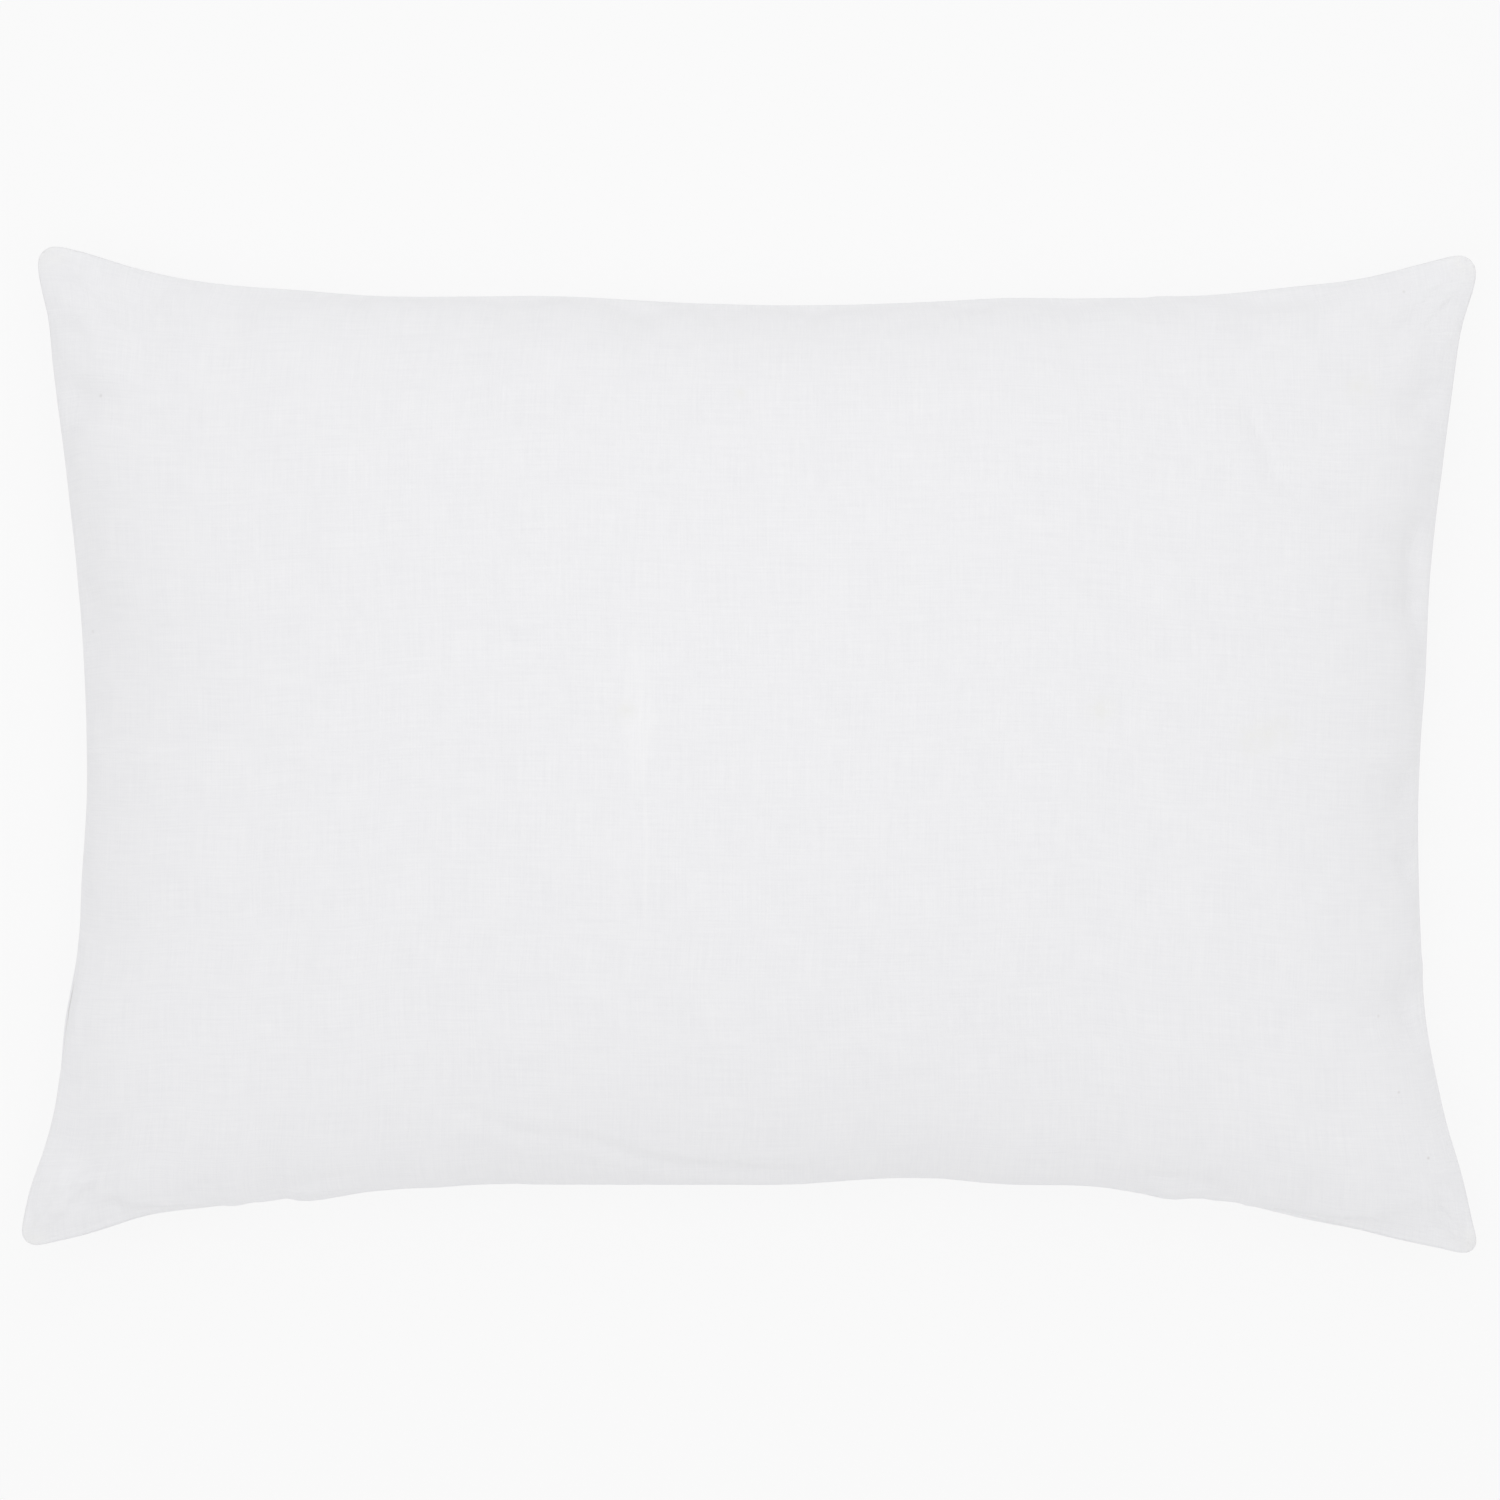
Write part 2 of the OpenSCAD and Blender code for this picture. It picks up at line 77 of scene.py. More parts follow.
# ---- Outlines ------------------------------------------------------------------------------
class Outline:
    """A four-sided outline with rounded corners. Its corners run counter-clockwise from the
    lower right, and its sides are right, top, left and bottom. A place on a side is w, from -1
    at its first corner to 1 at its second."""

    INWARD = np.array([[-1, 0], [0, -1], [1, 0], [0, 1]], float)
    CORNER_CUT = 13
    # Each side's bow: the power of its curve, how far its middle is shifted, and the share of
    # it that runs straight
    POWERS = (2.2, 3.1, 2.1, 1.5)
    SKEWS = (0.12, 0, -0.12, 0)
    FLATS = (0, 0, 0, 0.44)
    # An inset moves the acute corners further in than it moves the sides
    CORNER_INSET = 1.35

    def __init__(self, corners, pulls=(0, 0, 0, 0), inset=0.0, waves=(), straight=168):
        corners = np.array(corners, float)
        self.corners = corners - self.CORNER_INSET * inset * np.sign(corners)
        less = (self.CORNER_INSET - 1) * inset
        self.pulls = [pull - less if pull else 0 for pull in pulls]
        self.waves = waves
        self.straight = straight

    def side(self, i, w):
        """Points of side i, before its corners are rounded."""
        a, b = self.corners[i], self.corners[(i + 1) % 4]
        middle = (a + b) / 2 + self.INWARD[i] * self.pulls[i]
        skewed = w + self.SKEWS[i] * (1 - w * w)
        share = (abs(skewed) - self.FLATS[i]) / (1 - self.FLATS[i])
        bow = np.maximum(0, share) ** self.POWERS[i]
        points = a + (b - a) * ((w + 1) / 2)[:, None]
        across = i % 2
        nearer = np.where(skewed < 0, a[across], b[across])
        points[:, across] = middle[across] + (nearer - middle[across]) * bow
        along = points[:, 1 - across]
        for side, place, reach, inward in self.waves:
            if side == i:
                wave = inward * np.exp(-(((along - place) / reach) ** 2))
                points[:, across] += self.INWARD[i][across] * wave * self.free(i, along)
        return points

    def free(self, i, along):
        """0 beside the zip, as far along as the seam is straight, and 1 elsewhere."""
        return np.clip((abs(along) - self.straight) / 20, 0, 1) if i == 3 else 1

    def end(self, i):
        side_length = abs(self.corners[(i + 1) % 4] - self.corners[i]).max()
        return 1 - 2 * self.CORNER_CUT / side_length

    def corner(self, k, t):
        """Points on the rounding of corner k, for t from 0 to 1."""
        a = self.side((k - 1) % 4, np.array([self.end((k - 1) % 4)]))
        b = self.side(k, np.array([-self.end(k)]))
        t = t[:, None]
        return (1 - t) ** 2 * a + 2 * t * (1 - t) * self.corners[k] + t**2 * b

    def edge(self, i, w):
        """Points of side i, with half of the rounding of either corner."""
        end = self.end(i)
        over = (abs(w) - end) / (1 - end) / 2
        first = self.corner(i, np.clip(1 - over, 0, 1))
        last = self.corner((i + 1) % 4, np.clip(over, 0, 1))
        points = self.side(i, np.clip(w, -end, end))
        points[w < -end] = first[w < -end]
        points[w > end] = last[w > end]
        return points

    def patch(self, a, b):
        """Points inside the outline, for a from -1 at the left to 1 at the right and b from -1
        at the bottom to 1 at the top: a Coons patch between the four sides."""
        shape = a.shape
        a, b = a.ravel(), b.ravel()
        s, t = (a[:, None] + 1) / 2, (b[:, None] + 1) / 2
        lower, upper = self.edge(3, a), self.edge(1, -a)
        left, right = self.edge(2, -b), self.edge(0, b)
        tips = [self.corner(k, np.array([0.5])) for k in range(4)]
        corners = (
            (1 - s) * (1 - t) * tips[3]
            + s * (1 - t) * tips[0]
            + s * t * tips[1]
            + (1 - s) * t * tips[2]
        )
        points = (1 - t) * lower + t * upper + (1 - s) * left + s * right - corners
        return points.reshape(*shape, 2)


PILLOW_CORNERS = [
    (LENGTH / 2 + 2.8, -WIDTH / 2 - 1.9),
    (LENGTH / 2, WIDTH / 2 - 2.2),
    (-LENGTH / 2 + 5.5, WIDTH / 2 + 1.6),
    (-LENGTH / 2 - 2.8, -WIDTH / 2 + 2),
]
CUT_CORNERS = [
    (CUT_LENGTH / 2 * x, CUT_WIDTH / 2 * y) for x, y in ((1, -1), (1, 1), (-1, 1), (-1, -1))
]
PULLS = (31.5, 28, 31.5, 39.5)
# How far the two panels roll out over the concealed zip
ZIP_ROLL = 4
# Where the sewn edge strays from its even line: side, place along it, reach, distance inwards
SEAM_WAVES = (
    (0, 35, 40, -1.8), (0, -128, 25, 1.3), (0, 200, 30, 0.9), (0, 224, 16, -2.4),
    (0, -206, 24, -2.2),
    (1, -262, 48, 3.0), (1, -92, 45, -2.3), (1, 235, 62, 2.8), (1, 120, 25, -1.0),
    (1, -322, 22, -1.8), (1, -180, 28, 1.0), (1, 20, 62, 1.6), (1, 292, 26, 1.9),
    (2, -128, 30, -3.8), (2, -62, 30, -2.0), (2, -200, 38, -2.2), (2, 209, 20, 1.2),
    (2, 224, 14, -1.3), (2, -212, 18, -1.6),
    (3, -282, 26, 2.4), (3, -205, 24, -3.0), (3, 203, 24, -3.2), (3, 262, 34, -1.6),
    (3, -258, 22, -2.0), (3, 282, 40, -1.2),
)
# The same for the cloth that rolls out over the zip
ROLL_WAVES = ((3, 62, 28, 1.85), (3, 97, 19, 1.35), (3, -157, 24, -1.3), (3, -122, 18, 0.4))
COVER = Outline(PILLOW_CORNERS, PULLS, waves=SEAM_WAVES)
# What is seen from above. The rolled-out cloth has no straight stretch
FROM_ABOVE = Outline(PILLOW_CORNERS, (*PULLS[:3], PULLS[3] - ZIP_ROLL),
                     waves=SEAM_WAVES + ROLL_WAVES, straight=-20)
CUT = Outline(CUT_CORNERS)


# ---- Shape of one half of the pillow -------------------------------------------------------
def swell(a, b, p, q):
    """Height of a filled bag, as a share of its crown: 1 at the centre and 0 at the seam."""
    return (1 - abs(a) ** p) ** q * (1 - abs(b) ** p) ** q


def droop(a, b):
    """How far the seam lies lower than SEAM_Z near the corners."""
    return CORNER_DROOP * np.clip((abs(a * b) - 0.45) / 0.55, 0, 1) ** 2


def smooth_max(x, floor, blend):
    """The greater of x and floor, with the corner between them rounded over blend."""
    h = np.clip(0.5 + 0.5 * (x - floor) / blend, 0, 1)
    return floor + (x - floor) * h + blend * h * (1 - h)


def half_height(a, b, up, cut):
    """Height of the upper or lower half of a bag whose crown is lower by cut."""
    seam = SEAM_Z - droop(a, b)
    if up:
        return seam + (CROWN - cut) * swell(a, b, *UPPER_SWELL)
    hanging = seam - (SEAM_Z + HANG - cut) * swell(a, b, *LOWER_SWELL)
    return smooth_max(hanging, cut, FLATTENING)


def even_arc(half_span, height):
    """Places along half a section, from its crown to its seam, that lie evenly on the cloth.
    height gives the section's height at a place from 0 to 1."""
    place = 1 - np.linspace(1, 0, 1500) ** 2
    steps = np.hypot(half_span * np.diff(place), np.diff(height(place)))
    arc = np.concatenate([[0], np.cumsum(steps)])
    return lambda u: np.interp(abs(u), arc / arc[-1], place) * np.sign(u)


def unit_grid(columns, rows):
    """Places u along and v across a grid, both from -1 to 1."""
    return np.meshgrid(np.linspace(-1, 1, columns + 1), np.linspace(-1, 1, rows + 1))


def half_grid(outline, up, cut, columns, rows):
    """A grid of points on the upper or lower half of a bag, evenly spaced on its cloth."""
    u, v = unit_grid(columns, rows)
    across = even_arc(outline.patch(np.array([1.0]), np.array([0.0]))[0, 0],
                      lambda s: half_height(s, 0 * s, up, cut))
    along = even_arc(outline.patch(np.array([0.0]), np.array([1.0]))[0, 1],
                     lambda s: half_height(0 * s, s, up, cut))
    powers = UPPER_SWELL if up else LOWER_SWELL
    a = u + (across(u) - u) * swell(0 * v, v, *powers) ** 2
    b = v + (along(v) - v) * swell(u, 0 * u, *powers) ** 2
    z = half_height(a, b, up, cut)
    return np.dstack([outline.patch(a, b), z])


def smooth_step(x, low, high):
    """0 up to low, 1 from high on, and a smooth rise between them."""
    t = np.clip((x - low) / (high - low), 0, 1)
    return t * t * (3 - 2 * t)


def seam_drift(x, y):
    """How far the sewn seam strays up or down. Beside the zip it is level."""
    places = np.dstack([x, y, 0 * x])
    drift = 3.0 * noise_at(places, 85, 41) + 1.2 * noise_at(places, 27, 43)
    beside_zip = (y < 0) * (abs(x) < LENGTH / 2 - 60)
    return drift * np.where(beside_zip, smooth_step(abs(x), 172, 215), 1)


def finer(grid):
    """The same surface with twice as many points each way, on smooth curves through the old."""
    for _ in range(2):
        ends = np.concatenate([2 * grid[:1] - grid[1:2], grid, 2 * grid[-1:] - grid[-2:-1]])
        between = (9 * (grid[:-1] + grid[1:]) - ends[:-3] - ends[3:]) / 16
        new = np.empty((2 * len(grid) - 1, *grid.shape[1:]))
        new[::2], new[1::2] = grid, between
        grid = new.swapaxes(0, 1)
    return grid


def unit(vectors):
    """The vectors, each made 1 long."""
    return vectors / (np.linalg.norm(vectors, axis=-1, keepdims=True) + 1e-12)


def normals(grid, up):
    """Unit vectors that point out of a panel."""
    n = unit(np.cross(np.gradient(grid, axis=1), np.gradient(grid, axis=0)))
    return n if up else -n


def distances(line):
    """How far along a line each of its places is."""
    steps = np.linalg.norm(np.diff(line, axis=0), axis=1)
    return np.concatenate([[0], np.cumsum(steps)])


def noise_at(points, size, seed):
    """Smooth noise from about -1 to 1 at each point, whose lumps are size across."""
    flat = points.reshape(-1, points.shape[-1])
    shift = Vector((seed * 17.3, seed * 5.1, seed * 9.7))
    values = [noise.noise(Vector((*p, 0)[:3]) / size + shift) for p in flat.tolist()]
    return np.array(values).reshape(points.shape[:-1])


# ---- Meshes --------------------------------------------------------------------------------
def new_mesh(name, points, faces):
    """A mesh from points in millimetres."""
    mesh = bpy.data.meshes.new(name)
    mesh.from_pydata((np.asarray(points) * MM).tolist(), [], faces)
    return mesh


def make_object(name, points, faces, material, cloth=None):
    """An object from points in millimetres. cloth holds each point's place on the flat cloth,
    or along and round a thread, which its material reads."""
    mesh = new_mesh(name, points, faces)
    mesh.shade_smooth()
    if cloth is not None:
        layer = mesh.attributes.new("cloth", "FLOAT_VECTOR", "POINT")
        flat = np.zeros((len(points), 3), np.float32)
        flat[:, : cloth.shape[1]] = cloth * MM
        layer.data.foreach_set("vector", flat.ravel())
    mesh.materials.append(material)
    return in_scene(name, mesh)


def in_scene(name, data):
    """An object in the scene, from a mesh, a camera or a lamp."""
    made = bpy.data.objects.new(name, data)
    bpy.context.scene.collection.objects.link(made)
    return made


def grid_faces(rows, columns, start=0, flip=False):
    """Quads of a grid whose points are numbered from start, row by row."""
    index = start + np.arange(rows * columns).reshape(rows, columns)
    quads = np.stack([index[:-1, :-1], index[:-1, 1:], index[1:, 1:], index[1:, :-1]], axis=-1)
    quads = quads.reshape(-1, 4)
    return (quads[:, ::-1] if flip else quads).tolist()


def border(grid):
    """The points round a grid, counter-clockwise from its first."""
    return np.concatenate([grid[0, :-1], grid[:-1, -1], grid[-1, :0:-1], grid[:0:-1, 0]])


def border_numbers(rows, columns):
    """The numbers of the points round a grid, in the same order."""
    return border(np.arange(rows * columns).reshape(rows, columns, 1))[:, 0]


def strip_faces(first, second, flip):
    """Quads between two closed loops of point numbers."""
    a, b = np.roll(first, -1), np.roll(second, -1)
    quads = np.stack([first, second, b, a] if flip else [first, a, b, second], axis=-1)
    return quads.tolist()


def outward(loop):
    """Level unit vectors that point out of a closed counter-clockwise loop."""
    along = np.roll(loop, -1, axis=0) - np.roll(loop, 1, axis=0)
    return unit(np.stack([along[:, 1], -along[:, 0]], axis=1))


def closed_bag(front, back):
    """Points and faces of two grids that share their borders, with the back's own points last."""
    rows, columns = front.shape[:2]
    inner = np.zeros((rows, columns), bool)
    inner[1:-1, 1:-1] = True
    back_number = np.arange(rows * columns).reshape(rows, columns)
    back_number[inner] = rows * columns + np.arange(inner.sum())
    faces = grid_faces(rows, columns)
    faces += back_number.ravel()[np.array(grid_faces(rows, columns, flip=True))].tolist()
    return np.concatenate([front.reshape(-1, 3), back[inner]]), faces, inner


def tube(path, radius, sides, reference, closed=False):
    """Points, quads and thread coordinates of a round tube. reference is a direction that the
    path never runs along, or one such for each path point."""
    if closed:
        tangent = np.roll(path, -1, axis=0) - np.roll(path, 1, axis=0)
    else:
        tangent = np.gradient(path, axis=0)
    tangent = unit(tangent)
    one = unit(np.cross(tangent, reference))
    two = np.cross(one, tangent)
    angle = 2 * math.pi * np.arange(sides) / sides
    around = np.cos(angle)[:, None] * one[:, None] + np.sin(angle)[:, None] * two[:, None]
    points = (path[:, None] + radius * around).reshape(-1, 3)
    count = len(path)
    ring = np.arange(count if closed else count - 1)[:, None] * sides
    side = np.arange(sides)[None]
    follow = (ring + sides) % (count * sides)
    quads = np.stack([ring + side, ring + (side + 1) % sides,
                      follow + (side + 1) % sides, follow + side], axis=-1)
    faces = quads.reshape(-1, 4).tolist()
    if not closed:
        faces.append(list(range(sides))[::-1])
        faces.append(list(range((count - 1) * sides, count * sides)))
    cloth = np.column_stack([np.repeat(distances(path), sides), np.tile(radius * angle, count)])
    return points, faces, cloth


def joined(parts):
    """Several (points, faces, cloth) as one."""
    points, faces, cloth = [], [], []
    count = 0
    for p, f, c in parts:
        points.append(p)
        cloth.append(c)
        faces += [[n + count for n in face] for face in f]
        count += len(p)
    return np.concatenate(points), faces, np.concatenate(cloth)


# ---- Cover: sewn, filled by cloth simulation, then finished -------------------------------
# Steps along and across each panel while it is simulated
COVER_GRID = (116, 82)
# How far the simulation may move a point of the front and of the back panel
FRONT_CAP, BACK_CAP = 6, 8


def add_cloth(bag, cut_shape, frames):
    """Cloth under pressure from inside, without gravity. Each spring's own length is the one in
    the cut shape, so that the fullness gathers along the seam, which is held."""
    cloth = bag.modifiers.new("Cloth", "CLOTH")
    settings = cloth.settings
    settings.quality = 6
    settings.mass = 0.3
    settings.tension_stiffness = settings.compression_stiffness = 25
    settings.shear_stiffness = 2
    settings.bending_stiffness = 0.6
    settings.tension_damping = settings.compression_damping = 15
    settings.air_damping = 2
    settings.rest_shape_key = cut_shape
    settings.vertex_group_mass = "seam"
    settings.use_pressure = True
    settings.uniform_pressure_force = 4
    settings.effector_weights.gravity = 0
    cloth.collision_settings.use_collision = False
    cloth.point_cache.frame_start, cloth.point_cache.frame_end = 1, frames


def fill_cover(front, back, flat):
    """The two panels, sewn along their edges and blown up by cloth simulation."""
    frames = 20
    points, faces, inner = closed_bag(front, back)
    cut = np.zeros_like(points)
    cut[:, :2] = np.concatenate([flat.reshape(-1, 2), flat[inner]])
    bag = in_scene("sewn_bag", new_mesh("sewn_bag", points, faces))
    bag.shape_key_add(name="filled")
    cut_shape = bag.shape_key_add(name="cut")
    cut_shape.data.foreach_set("co", (cut * MM).astype(np.float32).ravel())
    seam = bag.vertex_groups.new(name="seam")
    seam.add(np.flatnonzero(~inner.ravel()).tolist(), 1.0, "REPLACE")
    add_cloth(bag, cut_shape, frames)
    scene = bpy.context.scene
    for step in range(1, frames + 1):
        scene.frame_set(step)
    settled = bag.evaluated_get(bpy.context.evaluated_depsgraph_get()).data
    moved = np.zeros(len(points) * 3, np.float32)
    settled.vertices.foreach_get("co", moved)
    moved = moved.reshape(-1, 3).astype(float) / MM
    bpy.data.objects.remove(bag)
    scene.frame_set(1)
    count = front[..., 0].size
    new_back = back.copy()
    new_back[inner] = moved[count:]
    return moved[:count].reshape(front.shape), new_back


def capped(start, moved, limit):
    """moved, but with no point further than limit from where it started."""
    step = moved - start
    distance = np.linalg.norm(step, axis=2, keepdims=True)
    return start + step * np.minimum(1, limit / np.maximum(distance, 1e-9))


def distance_to_line(points, line):
    """Distance of each point from a line through several places, and how far along the line
    its nearest place is, from 0 to 1."""
    line = np.array(line, float)
    lengths = np.linalg.norm(np.diff(line, axis=0), axis=1)
    starts = np.concatenate([[0], np.cumsum(lengths)])
    best = np.full(points.shape[:-1], 1e9)
    along = np.zeros(points.shape[:-1])
    for k, length in enumerate(lengths):
        way = (line[k + 1] - line[k]) / length
        t = np.clip((points - line[k]) @ way, 0, length)
        gap = np.linalg.norm(points - line[k] - t[..., None] * way, axis=-1)
        nearer = gap < best
        best = np.where(nearer, gap, best)
        along = np.where(nearer, (starts[k] + t) / starts[-1], along)
    return best, along


# Creases in the face: a line of places, how deep, and how wide to either side
FACE_CREASES = (
    (((-138, -157), (-121, -168), (-105, -174), (-86, -177)), 1.0, 3),
    (((-98, -171), (-70, -178), (-50, -185), (-35, -188), (-10, -190), (35, -193)), 1.6, 3),
    (((220, 174), (230, 158), (238, 142), (242, 127), (254, 116), (278, 105)), 1.2, 3.2),
    (((228, 211), (258, 214), (288, 219)), 1.0, 5),
    (((182, 214), (190, 207), (193, 198)), 1.0, 5),
    (((-319, -95), (-324, -118), (-330, -145), (-336, -165)), 1.3, 3.5),
    (((319, -93), (313, -97), (306, -99)), 0.8, 4),
)


def creased(grid, out, creases):
    """The grid, pressed in along each crease, with a low ridge to either side."""
    for line, depth, reach in creases:
        gap, along = distance_to_line(grid[..., :2], line)
        fade = np.clip(4 * along, 0, 1) * np.clip(4 * (1 - along), 0, 1)
        dent = np.exp(-((gap / reach) ** 2)) - 0.45 * np.exp(-(((gap - 2 * reach) / reach) ** 2))
        grid = grid - out * (depth * fade * dent)[..., None]
    return grid


def held_inside(grid, depth):
    """The grid, with nothing outside the outline that is seen from above. The seam stays."""
    w = np.linspace(-1, 1, 2001)
    sides = [FROM_ABOVE.edge(i, w) for i in range(4)]
    x, y = grid[..., 0], grid[..., 1]
    right = np.interp(y, sides[0][:, 1], sides[0][:, 0])
    left = np.interp(-y, -sides[2][:, 1], sides[2][:, 0])
    top = np.interp(-x, -sides[1][:, 0], sides[1][:, 1])
    bottom = np.interp(x, sides[3][:, 0], sides[3][:, 1])
    # The rounded edge of the seam stays the outermost
    margin = 0.15
    kept = grid.copy()
    kept[..., 0] = np.clip(x, left + margin, right - margin)
    kept[..., 1] = np.clip(y, bottom + margin, top - margin)
    return np.where(depth[..., None] > 0.01, kept, grid)


# Half the gap between two panels where their seam is sewn shut
SHUT_GAP = 0.1


def seam_gap(x, y):
    """Half the gap between the two folded edges, and whether they are open along the zip (1) or
    sewn shut (0)."""
    beside_zip = np.clip((ZIP_HALF + 14 - abs(x)) / 8, 0, 1) * (y < 0) * (abs(x) < LENGTH / 3)
    return SHUT_GAP + (ZIP_HALF_GAP - SHUT_GAP) * beside_zip, beside_zip


def turned_in(half_gap, rounding, curl, reach, thickness):
    """The section of a panel's folded edge, from its outer face round the allowance to its
    inner face, as pairs: distance inside the seam, and height off the seam's level."""
    bend = rounding * (1 - math.sqrt(0.5))
    inner_bend = curl - (curl - thickness) * math.sqrt(0.5)
    return [
        (bend, half_gap + bend),
        (rounding, half_gap),
        (curl, half_gap),
        ((curl + reach) / 2, half_gap),
        (reach, half_gap),
        (reach, half_gap + thickness),
        ((curl + reach) / 2, half_gap + thickness),
        (curl, half_gap + thickness),
        (inner_bend, half_gap + inner_bend),
    ]


def panel(name, grid, flat, up, material, thickness=LINEN, curl=1.0, allowance=ALLOWANCE,
          gap=True):
    """A cloth panel from a grid on its outer face: the face, a rounded edge at the seam, the
    allowance turned in behind it, and the inner face."""
    side = 1 if up else -1
    loop = border(grid)
    out = outward(loop[:, :2])
    half_gap, beside_zip = seam_gap(loop[:, 0], loop[:, 1]) if gap else (SHUT_GAP, 0)
    # Beside the zip the allowance ends at the tape
    reach = allowance + (curl + 0.3 - allowance) * beside_zip
    rounding = 0.6 * curl

    def rim(inset, height):
        inset = inset * np.ones(len(loop))
        flat_place = border(flat) + out * inset[:, None]
        place = np.column_stack([loop[:, :2] - out * inset[:, None], loop[:, 2] + side * height])
        return place, flat_place

    shape = grid.shape[:2]
    numbers = border_numbers(*shape)
    outer = grid.reshape(-1, 3).copy()
    outer[numbers] = rim(0, half_gap + rounding)[0]
    inner = (grid - normals(grid, up) * thickness).reshape(-1, 3)
    inner[numbers] = rim(thickness, half_gap + curl)[0]
    points, cloth = [outer], [flat.reshape(-1, 2)]
    faces = grid_faces(*shape, flip=not up)
    last, start = numbers, len(outer)
    for inset, height in turned_in(half_gap, rounding, curl, reach, thickness):
        place, flat_place = rim(inset, height)
        points.append(place)
        cloth.append(flat_place)
        ring = start + np.arange(len(loop))
        faces += strip_faces(last, ring, flip=up)
        last, start = ring, start + len(loop)
    points.append(inner)
    cloth.append(flat.reshape(-1, 2))
    faces += strip_faces(last, start + numbers, flip=up)
    faces += grid_faces(*shape, start=start, flip=up)
    return make_object(name, np.concatenate(points), faces, material, np.concatenate(cloth))


def cover_grids():
    """The outer faces of the front and back panels, filled, and their places on flat cloth."""
    flat = CUT.patch(*unit_grid(*COVER_GRID))
    front, back = (half_grid(COVER, up, 0, *COVER_GRID) for up in (True, False))
    new_front, new_back = fill_cover(front, back, flat)
    front = capped(front, new_front, FRONT_CAP)
    back = capped(back, new_back, BACK_CAP)
    return [thinned(finer(finer(grid))) for grid in (front, back, flat)]


def thinned(grid):
    """A grid that keeps all of its points near the seam, and a quarter each way far from it."""
    for _ in range(2):
        last = len(grid) - 1
        near, far = 40, 80
        keep = [
            *range(near), *range(near, far, 2), *range(far, last - far, 4),
            *range(last - far, last - near, 2), *range(last - near, last + 1),
        ]
        grid = grid[keep].swapaxes(0, 1)
    return grid


def nearest_edge(grid):
    """Distance of each point of a grid from the grid's border, seen from above, and the number
    of the nearest point of that border."""
    edge = border(grid)[:, :2]
    gaps = [np.hypot(*(row[:, None, :2] - edge).T) for row in grid]
    distance = np.array([gap.min(axis=0) for gap in gaps])
    return distance, np.array([gap.argmin(axis=0) for gap in gaps])


def gathers(flat, seed):
    """Depth of the folds that stand square to the seam and die away into the face."""
    total = 0
    for axis, width in ((0, CUT_WIDTH), (1, CUT_LENGTH)):
        depth = width / 2 - abs(flat[..., 1 - axis])
        side = 7 * np.sign(flat[..., 1 - axis])
        for size, height, reach in ((7, 1.8, 11), (14, 4.8, 26), (33, 8.0, 52)):
            place = np.dstack([flat[..., axis] / size, depth / (4 * size), side])
            fold = np.maximum(noise_at(place, 1, seed + axis), 0)
            total = total + height * fold * np.exp(-((depth / reach) ** 2))
    return total


def corner_folds(flat, seed):
    """Depth of the soft folds that run from each corner into the face."""
    total = 0
    for k, (x, y) in enumerate(((1, -1), (1, 1), (-1, 1), (-1, -1))):
        away = np.dstack([x * CUT_LENGTH / 2 - flat[..., 0], y * CUT_WIDTH / 2 - flat[..., 1]])
        far = np.hypot(away[..., 0], away[..., 1]) + 1e-6
        angle = np.arctan2(y * away[..., 1], x * away[..., 0]) - math.pi / 4
        for turn, length, height in ((-0.42, 26, 0.6), (-0.1, 38, 1.0), (0.3, 30, 0.8)):
            turn += 0.13 * math.sin(seed + 5 * k)
            across = far * np.sin(angle - turn) / (3 + 0.07 * far)
            rise = far / length * np.exp(1 - far / length)
            total = total + height * rise * np.exp(-(across**2)) * (abs(angle - turn) < 1.3)
    return total


def over_zip(grid):
    """The grid, with the cloth's fullness rolled out above and below the concealed zip."""
    w = np.linspace(-1, 1, 1201)
    seam, rolled = COVER.edge(3, w), FROM_ABOVE.edge(3, w)
    x = grid[..., 0]
    room = np.interp(x, seam[:, 0], seam[:, 1]) - np.interp(x, rolled[:, 0], rolled[:, 1])
    height = abs(grid[..., 2] - SEAM_Z)
    share = smooth_step(height, 2.4, 11) * (1 - smooth_step(height, 24, 80)) * (grid[..., 1] < 0)
    grid = grid.copy()
    grid[..., 1] -= 1.8 * room * share
    return grid


def pressed_shoulder(grid, seam):
    """How much lower the face lies above the zip, whose length the filling pushes forward."""
    from_edge = grid[..., 1] - COVER.side(3, np.zeros(1))[0, 1] + ZIP_ROLL
    along = (grid[..., 0] + 50) / 130
    room = smooth_step(grid[..., 2] - seam, 4, 26)
    return 5.5 * np.exp(-((from_edge / 26) ** 2) - along**4) * room


def finished(grid, flat, up):
    """A panel's outer face, with its creases, soft unevenness and the gathers of its seam."""
    out = normals(grid, up)
    depth = nearest_edge(flat)[0]
    uneven = 0.8 * noise_at(grid, 70, 1 + up) + 0.35 * noise_at(grid, 28, 3 + up)
    beside_zip = (flat[..., 1] < 0) * (1 - smooth_step(abs(flat[..., 0]), 165, 200))
    folds = gathers(flat, 5 + 2 * up) * (1 - 0.75 * beside_zip)
    folds += corner_folds(flat, 2 + up) * (0.8 if up else 2.0)
    # Little is lost where the two panels lie close together
    seam = SEAM_Z - droop(flat[..., 0] / CUT_LENGTH * 2, flat[..., 1] / CUT_WIDTH * 2)
    folds *= smooth_step(abs(grid[..., 2] - seam), 1.5, 20)
    grid = grid + out * (uneven * np.clip(depth / 60, 0, 1) - folds)[..., None]
    if up:
        grid = creased(grid, out, FACE_CREASES)
        grid[..., 2] -= pressed_shoulder(grid, seam)
    drift = seam_drift(grid[..., 0], grid[..., 1]) * np.exp(-((depth / 22) ** 2))
    grid[..., 2] = np.maximum(grid[..., 2] + drift, 0)
    return flat_tips(held_inside(over_zip(grid), depth), up)


